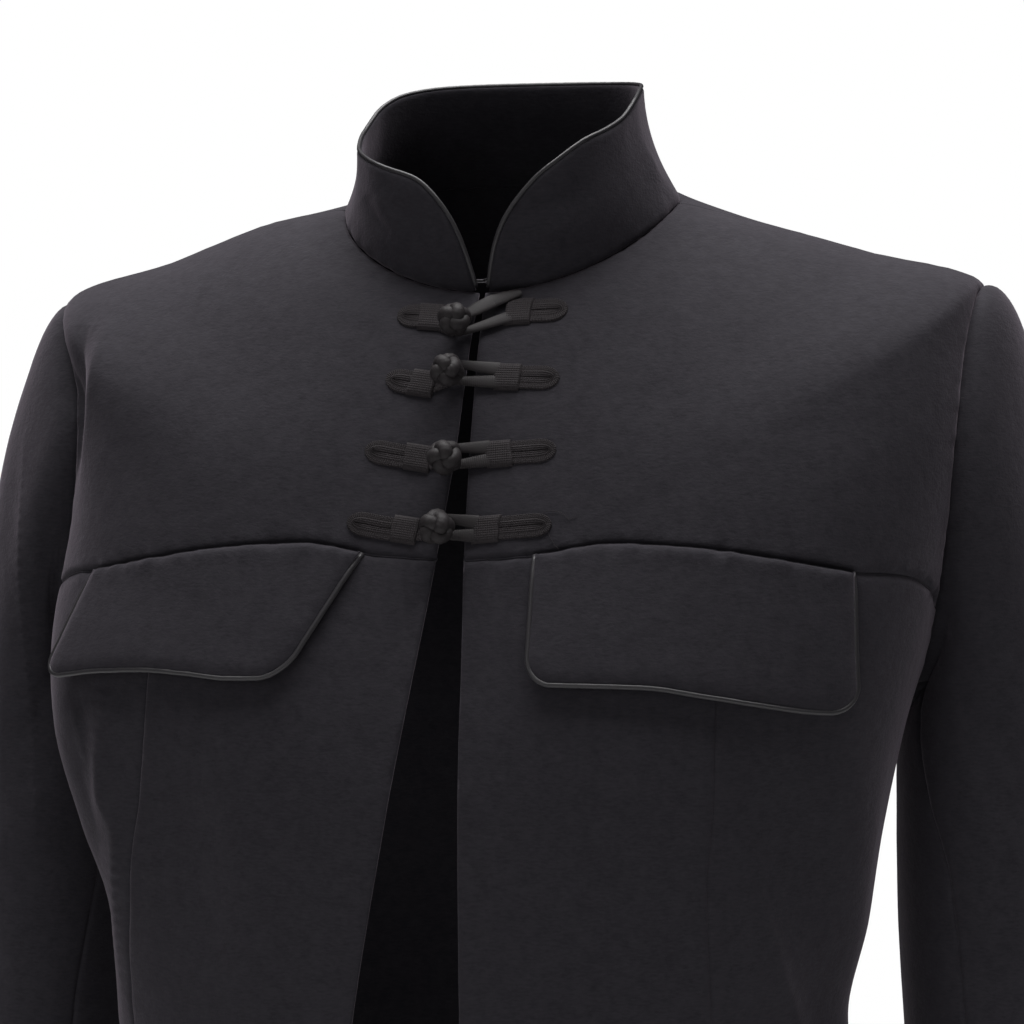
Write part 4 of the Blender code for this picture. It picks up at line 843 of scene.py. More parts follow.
def panel_run(side, count):
    top_x = PANEL[side + "_x"][0]
    top_z = smooth(YOKE["x"], YOKE["z"], np.array([abs(top_x)]))[0]
    z = between(top_z, PANEL["z"][-1], count)
    run = on_front(np.column_stack([from_z(PANEL, side + "_x", z), z]))
    run[0] = yoke_run(side, top_x, top_x, 1)[0]
    run[-1, 1] = -HEM_DROP
    return run


def level_run(start, end, count):
    """Along a hem or a cuff."""
    across = between(start[0], end[0], count)
    return np.column_stack([across, np.full(len(across), start[1])])


def yoke_pieces(side):
    """The yoke seam in two runs: edge to panel seam, and panel seam to armhole."""
    edge_z = YOKE["z"][0]
    edge_x = float(from_z(EDGE, side + "_x", edge_z))
    panel_x = PANEL[side + "_x"][0]
    inner = yoke_run(side, edge_x, panel_x, 14)
    far_x = math.copysign(YOKE["x"][-1], panel_x)
    outer = yoke_run(side, panel_x, far_x, 6)
    hole = armhole_run(side, YOKE_POINT, YOKE_POINT)[0]
    outer = np.concatenate([outer, between(outer[-1], hole, 2)[1:]])
    return inner, outer


def make_fronts(side):
    inner, outer = yoke_pieces(side)
    top = EDGE["z"][0]
    upper_edge = edge_run(side, top, YOKE["z"][0], 5)
    upper_edge[0] = neck_corner(side)
    upper_edge[-1] = inner[0]
    lower_edge = edge_run(side, YOKE["z"][0], -0.62, 17)
    lower_edge[0] = inner[0]
    lower_edge[-1, 1] = -HEM_DROP
    panel = panel_run(side, 17)
    side_seam = side_run(side, 14)
    yoke = joined(
        ("neck", neck_run(side, 8)), ("shoulder", shoulder_run(side, 6)),
        ("armhole", armhole_run(side, 0, YOKE_POINT)), ("yoke", outer[::-1]),
        ("yoke", inner[::-1]), ("front", upper_edge[::-1]),
    )
    centre = joined(
        ("yoke", inner), ("panel", panel), ("hem", level_run(panel[-1], lower_edge[-1], 6)),
        ("front", lower_edge[::-1]),
    )
    flank = joined(
        ("yoke", outer), ("armhole", armhole_run(side, YOKE_POINT, UNDERARM_POINT)),
        ("side", side_seam), ("hem", level_run(side_seam[-1], panel[-1], 6)), ("panel", panel[::-1]),
    )
    return [
        wall("front_yoke_" + side, torso, *yoke, CLOTH_STEP, creases=TORSO_CREASES),
        wall("front_centre_" + side, torso, *centre, CLOTH_STEP, creases=TORSO_CREASES),
        wall("front_side_" + side, torso, *flank, CLOTH_STEP, creases=TORSO_CREASES),
    ]


def make_back(side):
    side_seam = side_run(side, 14)
    far = math.pi * TORSO_SPREAD * SIGN[side]
    drop = between(0.0, HEM_DROP, 23)
    centre = np.column_stack([np.full(len(drop), far), -drop])
    outline = joined(
        ("shoulder", shoulder_run(side, 6)[::-1]), ("neck", back_neck_run(side, 7)),
        ("panel", centre), ("hem", level_run(centre[-1], side_seam[-1], 10)),
        ("side", side_seam[::-1]), ("armhole", armhole_run(side, UNDERARM_POINT, ARMHOLE_POINTS)),
    )
    return wall("back_" + side, torso, *outline, CLOTH_STEP, creases=TORSO_CREASES)


# Round the sleeve, in degrees, where its seams lie from the armhole down to the cuff
SEAM_COLUMNS = ("down", "front_left", "front_right", "back_left", "back_right")
SLEEVE_SEAMS = (
    (0.00, 150.0, 150.0, 250.0, 250.0),
    (0.10, 136.0, 146.0, 246.0, 244.0),
    (0.14, 124.0, 142.0, 244.0, 242.0),
    (0.18, 107.0, 134.0, 242.0, 240.0),
    (0.24, 102.0, 120.0, 240.0, 238.0),
    (0.50, 98.0, 104.0, 238.0, 236.0),
)
SLEEVE_SEAM = by_column(SEAM_COLUMNS, SLEEVE_SEAMS)
SLEEVE_LENGTH = SLEEVE_CAP_LENGTH + ARM["z"][0] - CUFF_Z


def sleeve_seam_run(side, which, count, whole_turn=0.0):
    down = between(0.0, SLEEVE_LENGTH, count)
    degrees = smooth(SLEEVE_SEAM["down"], SLEEVE_SEAM[which + side], down) + whole_turn
    return np.column_stack([np.radians(degrees) * SLEEVE_SPREAD * -SIGN[side], -down])


def sleeve_head_run(side, first, last):
    turn = np.arange(first, last + 1) * 2 * math.pi / ARMHOLE_POINTS
    return np.column_stack([turn * SLEEVE_SPREAD * -SIGN[side], np.zeros(len(turn))])


def make_sleeve(side):
    front_point, back_point = SLEEVE_FRONT_SEAM_POINT, SLEEVE_BACK_SEAM_POINT
    front = sleeve_seam_run(side, "front_", 17)
    back = sleeve_seam_run(side, "back_", 17)
    back_before = sleeve_seam_run(side, "back_", 17, -360.0)
    upper = joined(
        ("armhole", sleeve_head_run(side, back_point - ARMHOLE_POINTS, front_point)),
        ("panel", front), ("hem", level_run(front[-1], back_before[-1], 15)),
        ("panel", back_before[::-1]),
    )
    under = joined(
        ("armhole", sleeve_head_run(side, front_point, back_point)), ("panel", back),
        ("hem", level_run(back[-1], front[-1], 9)), ("panel", front[::-1]),
    )
    form = sleeve(side)
    creases = SLEEVE_CREASES[side]
    return [
        wall("sleeve_top_" + side, form, *upper, CLOTH_STEP, creases=creases),
        wall("sleeve_under_" + side, form, *under, CLOTH_STEP, creases=creases),
    ]


# The collar's front corner: distance in from its front edge, and height on the neck seam
COLLAR_CORNER = (
    (0.0000, 0.0000),
    (0.0001, 0.0016),
    (0.0014, 0.0080),
    (0.0036, 0.0165),
    (0.0068, 0.0250),
    (0.0112, 0.0325),
    (0.0170, 0.0385),
)


def collar_edge(side):
    """Flat across of the collar's front edge at the neck seam."""
    angle = math.asin(COLLAR_EDGE_X / -TORSO_RINGS[0][RING_COLUMNS.index("y_front")])
    return (math.pi - angle) * COLLAR_SPREAD * -SIGN[side]


def finely(points):
    """More points on a curve through these."""
    ends = np.arange(len(points))
    steps = between(0, len(points) - 1, len(points) - 1)
    return np.column_stack([smooth(ends, points[:, i], steps) for i in range(2)])


def rounded(path, reach):
    """A path with its corners rounded over this many points; its ends stay."""
    weights = np.hanning(2 * reach + 3)[1:-1]
    weights /= weights.sum()
    padded = np.concatenate([np.repeat(path[:1], reach, axis=0), path, np.repeat(path[-1:], reach, axis=0)])
    soft = np.column_stack([np.convolve(padded[:, i], weights, mode="valid") for i in range(2)])
    share = np.clip(np.minimum(np.arange(len(path)), np.arange(len(path))[::-1]) / reach, 0, 1)[:, None]
    return path + (soft - path) * share


def collar_outline():
    """Base from one front edge round the back to the other, then the top edge with its two corners."""
    left_edge, right_edge = collar_edge("left"), collar_edge("right")
    base_angles = np.concatenate([
        neck_run("right", 8)[FINER:, 0] / TORSO_SPREAD + math.pi,
        back_neck_run("right", 7)[1:, 0] / TORSO_SPREAD + math.pi,
        back_neck_run("left", 7)[-2::-1, 0] / TORSO_SPREAD - math.pi,
        neck_run("left", 8)[-2:FINER - 1:-1, 0] / TORSO_SPREAD - math.pi,
    ])
    base = np.column_stack([base_angles * COLLAR_SPREAD, np.zeros(len(base_angles))])
    base = np.concatenate([
        between([right_edge, 0.0], base[0], 1)[:-1], base, between(base[-1], [left_edge, 0.0], 1)[1:],
    ])
    corner = np.array(COLLAR_CORNER)
    left_corner = finely(np.column_stack([left_edge + corner[:, 0], corner[:, 1]]))
    right_corner = finely(np.column_stack([right_edge - corner[:, 0], corner[:, 1]]))
    first, last = left_corner[-1, 0] + 0.007, right_corner[-1, 0] - 0.007
    across = between(first, last, 32)
    angle = math.pi + across / COLLAR_SPREAD
    height = rim(angle)[:, 2] - neck_seam(angle)[:, 2]
    level = np.column_stack([across, height])
    left_join = between(left_corner[-1], level[0], 1)[1:-1]
    right_join = between(level[-1], right_corner[-1], 1)[1:-1]
    top = np.concatenate([left_corner, left_join, level, right_join, right_corner[::-1]])
    way = np.concatenate([[0.0], np.cumsum(np.linalg.norm(np.diff(top, axis=0), axis=1))])
    even = np.linspace(0.0, way[-1], int(way[-1] / COLLAR_RIM_STEP))
    top = np.column_stack([np.interp(even, way, top[:, i]) for i in range(2)])
    return base, rounded(top, COLLAR_RIM_ROUNDING)


def edge_path(form, run, inward_sign, radius, depth):
    """A tube's path beside an edge of a wall: out from the edge, at this depth in the wall."""
    run = np.asarray(run)
    skin, normal = form(run), normals(form, run)
    along = np.gradient(skin, axis=0)
    outward = unit(np.cross(normal, along)) * -inward_sign
    return skin + normal * depth + outward * (radius - PIPING_SUNK)


def make_collar():
    base, top = collar_outline()
    outline = joined(("neck", base), ("rim", top))
    band = wall("collar", collar, *outline, COLLAR_STEP, thick=COLLAR_CLOTH, creases=COLLAR_CREASES)
    clockwise = 1 if area_of(np.concatenate([base, top])) > 0 else -1
    path = edge_path(collar, top, clockwise, COLLAR_PIPING_RADIUS, -COLLAR_CLOTH * 0.45)
    tube = round_tube(path[1:-1], COLLAR_PIPING_RADIUS, wobble=PIPING_WOBBLE)
    piping = add_mesh("collar_piping_trim", *tube, "piping")
    seat(piping, ["collar_piping"], "satin")
    return band, piping


def flap_point(side, across, down):
    """x and z of a flap at its shares across (inner end 0) and down (yoke seam 0)."""
    place = FLAP_PLACES[side]
    top_x = place["top"][0] + (place["top"][1] - place["top"][0]) * across
    foot_x = place["foot"][0] + (place["foot"][1] - place["foot"][0]) * across
    top_z = smooth(YOKE["x"], YOKE["z"], np.abs(top_x))
    foot_z = smooth(FOOT["share"], FOOT[side + "_z"], across)
    return np.column_stack([top_x + (foot_x - top_x) * down, top_z + (foot_z - top_z) * down])


def flap_outline(side):
    """Shares across and down along a flap's rim (inner end, foot, outer end), then along its top."""
    place = FLAP_PLACES[side]
    corner_across = FLAP_CORNER / abs(place["foot"][1] - place["foot"][0])
    corner_down = FLAP_CORNER / (FOOT[side + "_z"][0] - YOKE["z"].mean()) * -1
    bend = np.radians(np.linspace(90.0, 0.0, 19))
    inner = np.column_stack([corner_across * (1 - np.sin(bend)), 1 - corner_down * (1 - np.cos(bend))])
    outer = np.column_stack([1 - inner[::-1, 0], inner[::-1, 1]])
    middle = between(inner[-1, 0], outer[0, 0], 8)[1:-1]
    foot = np.column_stack([middle, np.ones(len(middle))])
    side_down = between(0.0, inner[0, 1], 3)[:-1]
    inner_side = np.column_stack([np.zeros(len(side_down)), side_down])
    outer_side = np.column_stack([np.ones(len(side_down)), side_down[::-1]])
    rim_shares = np.concatenate([inner_side, inner, foot, outer, outer_side])
    top_across = between(1.0, 0.0, 18)[1:-1]
    return rim_shares, np.column_stack([top_across, np.zeros(len(top_across))])


def make_flap(side):
    rim_shares, top_shares = flap_outline(side)
    place = FLAP_PLACES[side]
    ends = np.array([[0.0, 0.0], [1.0, 0.0], [0.0, 1.0], [1.0, 1.0]])
    corners = on_front(flap_point(side, ends[:, 0], ends[:, 1]))

    def stand_off(sheet):
        across = np.clip((sheet[:, 0] - corners[0, 0]) / (corners[1, 0] - corners[0, 0]), 0, 1)
        top = corners[0, 1] + (corners[1, 1] - corners[0, 1]) * across
        foot = corners[2, 1] + (corners[3, 1] - corners[2, 1]) * across
        down = np.clip((sheet[:, 1] - top) / (foot - top), 0, 1)
        stand = place["stand"][0] + (place["stand"][1] - place["stand"][0]) * across**2
        return FLAP_LIFT + stand * down**1.3

    edge = on_front(flap_point(side, rim_shares[:, 0], rim_shares[:, 1]))
    top = on_front(flap_point(side, top_shares[:, 0], top_shares[:, 1]))
    outline = joined(("flap", edge), ("flap_top", top))
    flap = wall("pocket_flap_" + side, torso, *outline, FLAP_STEP, thick=FLAP_CLOTH, lift=stand_off)
    turn = 1 if area_of(np.concatenate([edge, top])) > 0 else -1
    height = stand_off(edge)[:, None] + FLAP_CLOTH * 0.35
    path = edge_path(torso, edge, turn, PIPING_RADIUS, height)
    ends = np.minimum(np.arange(len(path)), np.arange(len(path))[::-1])
    tucked = np.clip(1 - ends / PIPING_TUCK_POINTS, 0, 1)[:, None]
    path -= normals(torso, edge) * tucked**2 * PIPING_TUCK
    name = "flap_piping_" + side
    piping = add_mesh(name + "_trim", *round_tube(path, PIPING_RADIUS, wobble=PIPING_WOBBLE), "piping")
    seat(piping, [name], "satin")
    return flap, piping


def on_cloth(places):
    """World points for (x, z, height over the cloth) on the jacket's front."""
    places = np.atleast_2d(np.asarray(places, float))
    sheet = on_front(places[:, :2])
    return torso(sheet) + normals(torso, sheet) * places[:, 2:]


# Frog fastenings: crocheted leaves of folded braid, woven keepers, ribbon loops and knotted ball buttons
LEAF_HALF = 0.0050
LEAF_TAPER = 0.0076
LEAF_HIGH = 0.0012
LEAF_FOOT = 0.0002
STITCH_PITCH = 0.00093
STITCH_HIGH = 0.00050
PICOT_PITCH = 0.0013
PICOT_OUT = 0.00034
KEEPER_HIGH = 0.0015
WEAVE_HIGH = 0.00034
RIBBON_HIGH = 0.0008
RIBBON_HALF = 0.0031
RIBBON_NECK_HALF = 0.0012
RIBBON_APART = 0.0027
RIB_PITCH = 0.00085
KNOT_TURNS = ((0.3, 1.06), (1.2, 1.06), (2.3, 1.10), (0.0, 1.10))
KNOT_CORD = 0.00235
CORD_WIDER = 1.12
CORD_FLATTER = 0.92
CORD_SIDES = 14
CORD_POINTS = 300
KNOT_REACH = 0.0042
KNOT_WEAVE = 0.00085
KNOT_LATITUDE = 60.0
KNOT_NECK = 0.0015
KNOT_NECK_LENGTH = 0.0040
KNOT_DROOP = 0.50
LOOP_BEND = 0.0036
TAPE_TOP = REST_GAP * 2 + 0.0012
BAND_WIDTH = 0.0112
BAND_SPAN = 0.0112
THREAD_RADIUS = 0.00011

# The top loop's upper ribbon, which rises from the ball over the keeper to the neck seam: x and z
TOP_RIBBON = ((-0.0060, -0.0545), (0.0000, -0.0508), (0.0060, -0.0475), (0.0115, -0.0454), (0.0172, -0.0436))
# Loose thread ends at the lowest left leaf's tip: x and z
LOOSE_THREADS = (
    ((0.0345, -0.1345), (0.0371, -0.1334), (0.0393, -0.1334), (0.0425, -0.1340), (0.0450, -0.1359),
     (0.0462, -0.1368), (0.0478, -0.1360), (0.0494, -0.1356)),
    ((0.0376, -0.1415), (0.0387, -0.1442), (0.0400, -0.1458), (0.0406, -0.1470), (0.0425, -0.1488)),
)


def surface(places):
    """Points and unit normals of the cloth at (x, z) places on the jacket's front."""
    sheet = on_front(places)
    return torso(sheet), normals(torso, sheet)


def grid_faces(rows, columns, start=0, closed=False):
    faces = []
    for i in range(rows - 1):
        for j in range(columns - 1 + closed):
            after = (j + 1) % columns
            a, b = start + i * columns, start + (i + 1) * columns
            faces.append([a + j, a + after, b + after, b + j])
    return faces


def relief_patch(places, heights, foot):
    """A closed patch on the cloth: a grid of (x, z) places at these heights, and a plain underside."""
    rows, columns = heights.shape
    skin, normal = surface(places.reshape(-1, 2))
    top = skin + normal * heights.reshape(-1, 1)
    under = (skin + normal * foot).reshape(rows, columns, 3)[:, [0, -1]].reshape(-1, 3)
    total = rows * columns
    last = (rows - 1) * columns
    faces = grid_faces(rows, columns)
    faces += [face[::-1] for face in grid_faces(rows, 2, total)]
    for i in range(rows - 1):
        near, far = i * columns, i * columns + columns - 1
        low_near, low_far = total + 2 * i, total + 2 * i + 1
        faces.append([near, near + columns, low_near + 2, low_near])
        faces.append([far + columns, far, low_far, low_far + 2])
    faces.append([*range(columns - 1, -1, -1), total, total + 1])
    faces.append([*range(last, last + columns), total + 2 * rows - 1, total + 2 * rows - 2])
    return np.concatenate([top, under]), faces


def stitches(u, v):
    """Rounded stitches in rows, one to each whole step of u and v, from 0 in the gaps to 1."""
    return (np.abs(np.sin(math.pi * u)) * np.abs(np.sin(math.pi * v))) ** 0.7


def leaf_patch(root, band, tip, phase):
    """A braid folded in a U with a rounded point: rows of stitches that follow its edge, and picots."""
    spine = np.array([tip, band, root], float)
    reach = np.concatenate([[0.0], np.cumsum(np.linalg.norm(np.diff(spine, axis=0), axis=1))])

    def spine_at(back):
        return np.stack([smooth(reach, spine[:, i], back) for i in range(2)], axis=-1)

    bend = np.linspace(0, math.pi / 2, 41)
    half = np.column_stack([LEAF_TAPER * (1 - np.cos(bend)), LEAF_HALF * np.sin(bend) ** 0.95])
    half = np.concatenate([half, [[reach[-1], LEAF_HALF * 0.92]]])
    outline = np.concatenate([half[::-1] * (1, -1), half[1:]])
    steps = np.concatenate([[0.0], np.cumsum(np.linalg.norm(np.diff(outline, axis=0), axis=1))])
    way = np.linspace(0, steps[-1], int(steps[-1] / STITCH_PITCH * 5.4))
    back, out = (np.interp(way, steps, outline[:, i]) for i in range(2))
    shares = np.concatenate([np.linspace(0.0, 0.90, 27), (0.93, 0.96, 0.985, 1.0)])
    picot = PICOT_OUT * (np.abs(np.sin(math.pi * way / PICOT_PITCH + phase)) ** 0.6 - 1)
    spread = shares[None] * (1 + np.where(shares > 0.82, picot[:, None] / LEAF_HALF, 0.0))
    middle = np.maximum(back, 0.0044 + 0.5 * back)
    grid_back = middle[:, None] + (back - middle)[:, None] * spread
    grid_out = out[:, None] * spread
    ahead = unit(spine_at(grid_back - 0.0004) - spine_at(grid_back + 0.0004) + 1e-9)
    across = np.stack([-ahead[..., 1], ahead[..., 0]], axis=-1)
    places = spine_at(grid_back) + across * grid_out[..., None]
    profile = np.interp(shares, (0, 0.05, 0.14, 0.40, 0.52, 0.58, 0.66, 0.74, 0.86, 0.95, 1.0),
                        (0.66, 0.80, 0.95, 1.0, 0.96, 0.70, 0.98, 0.82, 0.92, 0.74, 0.25))
    along_rows = way[:, None] / STITCH_PITCH + 1.1 * shares + phase
    rows = stitches(along_rows, shares * LEAF_HALF / STITCH_PITCH * 1.1)
    wander = 1 + 0.06 * np.sin(way / 0.0037 + phase)[:, None]
    heights = LEAF_HIGH * profile[None] * wander + STITCH_HIGH * (rows - 0.4) * (shares < 0.97)
    return relief_patch(places, np.maximum(heights, LEAF_FOOT + 0.00015), LEAF_FOOT)


def keeper_patch(middle, toward, phase):
    """A band of plain weave wrapped over the leaf's root, its ends folded down beside it."""
    middle = np.array(middle, float)
    along = unit(np.array(toward) - middle)
    across = np.array([-along[1], along[0]])
    edge_steps = np.linspace(-1, 1, 67)
    uu, vv = np.meshgrid(edge_steps, edge_steps, indexing="ij")
    pinch = 1 + 0.03 * np.cos(math.pi * vv + phase)
    lean = 0.0007 * math.sin(phase * 2.3) * vv
    u, v = uu * pinch * BAND_SPAN / 2 + lean, vv * BAND_WIDTH / 2
    places = middle + along * u[..., None] + across * v[..., None]
    wrap = np.clip(1 - np.abs(vv) ** 5, 0, 1) ** 0.5 * np.clip(1 - np.abs(uu) ** 14, 0, 1) ** 0.5
    weave = stitches((u + 0.03) / STITCH_PITCH, (v + 0.03) / STITCH_PITCH)
    selvedge = 0.5 * np.exp(-(((np.abs(uu) - 0.95) / 0.035) ** 2))
    rise = LEAF_HIGH * 0.7 + KEEPER_HIGH + WEAVE_HIGH * (weave - 0.4 + selvedge)
    heights = np.maximum(rise * wrap, 0.0004)
    return relief_patch(places, heights, LEAF_FOOT)


def flat_strand(path, wide, high, ribbed, phase=0.0, sides=12):
    """A flattened cord over (x, z, height) places: smooth satin, or with slanting ribs along it."""
    path = np.asarray(path, float)
    steps = np.concatenate([[0.0], np.cumsum(np.linalg.norm(np.diff(path, axis=0), axis=1))])
    way = np.linspace(0, steps[-1], max(12, int(steps[-1] / 0.00016)))
    even = np.column_stack([np.interp(way, steps, path[:, i]) for i in range(3)])
    skin, normal = surface(even[:, :2])
    middle = skin + normal * even[:, 2:]
    along = unit(np.gradient(middle, axis=0))
    side = unit(np.cross(normal, along))
    up = np.cross(along, side)
    wide = np.interp(way / way[-1], np.linspace(0, 1, len(np.atleast_1d(wide))), np.atleast_1d(wide))
    turn = np.arange(sides) * 2 * math.pi / sides
    rings = []
    for i in range(len(way)):
        rib = 1 + ribbed * np.cos(2 * math.pi * way[i] / RIB_PITCH + 1.2 * np.cos(turn) + phase)
        swell = np.sign(np.cos(turn)) * np.abs(np.cos(turn)) ** 0.8
        ring = side[i] * (wide[i] * swell * rib)[:, None] + up[i] * (high * np.sin(turn) * rib)[:, None]
        rings.append(middle[i] + ring)
    return rings_mesh(rings)


def knot_ball(x, z, turned, size):
    """A ball button: one cord wound three times round in four bights, over and under, on a neck."""
    low = TAPE_TOP
    foot, above = on_cloth([[x, z, low], [x, z, low + 0.01]])
    out = unit(above - foot)
    right = unit(np.cross((0.0, 0.0, 1.0), out))
    neck_top = foot + out * KNOT_NECK_LENGTH
    axis = unit(out - np.array([0.0, 0.0, KNOT_DROOP]))
    up = np.cross(axis, right)
    middle = neck_top + axis * 0.0064 * 0.96
    s = np.linspace(0, 6 * math.pi, CORD_POINTS + 1)[:-1]
    a = 4 * s / 3
    latitude = np.radians(KNOT_LATITUDE) * np.cos(a)
    radius = (KNOT_REACH + KNOT_WEAVE * np.sin(2 * a)) * size
    round_axis = right * np.cos(s + turned)[:, None] + up * np.sin(s + turned)[:, None]
    toward = round_axis * np.cos(latitude)[:, None] + axis * np.sin(latitude)[:, None]
    path = middle + radius[:, None] * toward
    along = unit(np.roll(path, -1, axis=0) - np.roll(path, 1, axis=0))
    outward = unit(path - middle)
    side = unit(np.cross(outward, along))
    outward = np.cross(along, side)
    turn = np.arange(CORD_SIDES) * 2 * math.pi / CORD_SIDES
    wave = 1 + 0.035 * np.cos(30 * s + 2 * turn[:, None]).T
    sideways = side[:, None] * (CORD_WIDER * np.cos(turn))[None, :, None]
    upwards = outward[:, None] * (CORD_FLATTER * np.sin(turn))[None, :, None]
    rings = path[:, None] + KNOT_CORD * size * wave[..., None] * (sideways + upwards)
    count = len(turn)
    cord_faces = [
        [i * count + j, i * count + (j + 1) % count,
         ((i + 1) % len(s)) * count + (j + 1) % count, ((i + 1) % len(s)) * count + j]
        for i in range(len(s)) for j in range(count)
    ]
    core = [middle + axis * KNOT_REACH * math.sin(b) for b in np.radians(np.linspace(-80, 80, 11))]
    core_radius = KNOT_REACH * np.cos(np.radians(np.linspace(-80, 80, 11)))
    neck = round_tube([foot - out * 0.0006, foot, neck_top, neck_top + axis * 0.003], KNOT_NECK)
    return together((rings.reshape(-1, 3), cord_faces), round_tube(core, core_radius, 16), neck)


def ribbon_loop(number, knot, root, band):
    """Two flat ribbons from under the keeper, joined by a narrow turn round the ball's neck."""
    high = TAPE_TOP + RIBBON_HIGH
    along = unit(root - knot)
    across = np.array([-along[1], along[0]])
    under_keeper = root + unit(band - root) * 0.002
    turn = np.radians(np.linspace(75, 285, 21))[:, None]
    ring = knot + LOOP_BEND * (along * np.cos(turn) + across * np.sin(turn))
    ribs = 0.0 if number == 1 else 0.05
    upper = np.column_stack([[under_keeper + across * RIBBON_APART, ring[0]], [0.0015, high + 0.0002]])
    if number == 1:
        top = np.array(TOP_RIBBON)
        upper = np.column_stack([top[::-1], np.linspace(0.0022, high + 0.0008, len(top))])
    lower = np.column_stack([[ring[-1], under_keeper - across * RIBBON_APART * 0.95], [high, 0.0015]])
    neck = np.column_stack([ring, np.full(len(ring), high)])
    halves = (RIBBON_HALF, RIBBON_NECK_HALF * 1.5)
    upper_halves = (0.0016, 0.0030, 0.0036, 0.0034, 0.0020) if number == 1 else halves
    return together(
        flat_strand(upper, upper_halves, RIBBON_HIGH, 0.0, number),
        flat_strand(neck, RIBBON_NECK_HALF, RIBBON_HIGH * 1.2, ribs, number),
        flat_strand(lower, halves[::-1], RIBBON_HIGH, ribs, number + 0.7),
    )


def make_frog(number, row):
    frog = dict(zip(FROG_COLUMNS, row))
    spots = ("right_tip", "right_band", "knot", "left_band", "left_tip")
    right_tip, right_band, knot, left_band, left_tip = (
        np.array([frog[spot + "_x"], frog[spot + "_z"]]) for spot in spots
    )
    name = f"frog_{number}_"
    phase = 1.7 * number
    knot_root = knot - unit(knot - right_band) * 0.0012
    loop_root = left_band - unit(left_tip - left_band) * BAND_SPAN / 2
    turned, size = KNOT_TURNS[number - 1]
    left_leaf = leaf_patch(loop_root, left_band, left_tip, phase + 0.9)
    if number == len(FROGS):
        threads = [round_tube(thread_path(thread), THREAD_RADIUS, 6) for thread in LOOSE_THREADS]
        left_leaf = together(left_leaf, *threads)
    parts = {
        "knot_tape": (leaf_patch(knot_root, right_band, right_tip, phase), "braid"),
        "knot_band": (keeper_patch(right_band, right_tip, phase), "braid"),
        "knot": (knot_ball(*knot, turned, size), "satin"),
        "loop_tape": (left_leaf, "braid"),
        "loop_band": (keeper_patch(left_band, left_tip, phase + 2.1), "braid"),
        "loop": (ribbon_loop(number, knot, loop_root, left_band), "satin"),
    }
    for part, ((points, faces), slot) in parts.items():
        seat(add_mesh(name + part + "_trim", points, faces, slot), [name + part], slot)


def thread_path(thread):
    """A fine thread's curve through these places, lying on the cloth."""
    thread = np.array(thread)
    steps = np.linspace(0, len(thread) - 1, 8 * len(thread))
    curve = np.column_stack([smooth(np.arange(len(thread)), thread[:, i], steps) for i in range(2)])
    return on_cloth(np.column_stack([curve, np.linspace(0.0010, 0.0004, len(curve))]))


# Materials
def new_material(name):
    material = bpy.data.materials.new(name)
    material.use_nodes = True
    tree = material.node_tree
    return material, tree, tree.nodes["Principled BSDF"]


def add_node(tree, kind, inputs=(), **settings):
    """A node with its settings, and its inputs as (socket, value or another node's output)."""
    node = tree.nodes.new(kind)
    for key, value in settings.items():
        setattr(node, key, value)
    for key, value in dict(inputs).items():
        if isinstance(value, bpy.types.NodeSocket):
            tree.links.new(value, node.inputs[key])
        else:
            node.inputs[key].default_value = value
    return node


def shades(tree, factor, colours):
    """A colour ramp over a texture's value; colours are (place, rgb)."""
    node = add_node(tree, "ShaderNodeValToRGB", {"Fac": factor})
    ramp = node.color_ramp
    for i, (place, colour) in enumerate(colours):
        element = ramp.elements[i] if i < 2 else ramp.elements.new(place)
        element.position = place
        element.color = (*colour, 1.0)
    return node.outputs["Color"]


def make_wool():
    """Near-black fulled wool: short level fibres under a soft nap, matt, paler where light grazes it."""
    material, tree, shader = new_material("wool")
    place = add_node(tree, "ShaderNodeTexCoord").outputs["Object"]
    fibres = add_node(tree, "ShaderNodeMapping", {"Vector": place, "Scale": (1.0, 1.0, 3.2)})
    strand = add_node(tree, "ShaderNodeTexNoise", {
        "Vector": fibres.outputs["Vector"], "Scale": 330.0, "Detail": 3.0, "Roughness": 0.6,
    })
    nap = add_node(tree, "ShaderNodeTexNoise", {
        "Vector": place, "Scale": 900.0, "Detail": 3.0, "Roughness": 0.65,
    })
    slub = add_node(tree, "ShaderNodeTexNoise", {
        "Vector": place, "Scale": 160.0, "Detail": 4.0, "Roughness": 0.6,
    })
    tone = add_node(tree, "ShaderNodeMix", {"Factor": 0.45, 2: strand.outputs["Fac"], 3: slub.outputs["Fac"]})
    tree.links.new(shades(tree, tone.outputs[0], WOOL_SHADES), shader.inputs["Base Color"])
    grain = add_node(tree, "ShaderNodeMix", {"Factor": 0.5, 2: strand.outputs["Fac"], 3: nap.outputs["Fac"]})
    fine = add_node(tree, "ShaderNodeBump", {
        "Height": grain.outputs[0], "Strength": 0.60, "Distance": 0.00040,
    })
    soft = add_node(tree, "ShaderNodeBump", {
        "Height": slub.outputs["Fac"], "Normal": fine.outputs["Normal"], "Strength": 0.35, "Distance": 0.0009,
    })
    tree.links.new(soft.outputs["Normal"], shader.inputs["Normal"])
    shader.inputs["Roughness"].default_value = 0.85
    shader.inputs["Specular IOR Level"].default_value = 0.18
    shader.inputs["Sheen Weight"].default_value = 0.20
    shader.inputs["Sheen Roughness"].default_value = 0.42
    shader.inputs["Sheen Tint"].default_value = (1.0, 0.86, 1.0, 1.0)
    return material


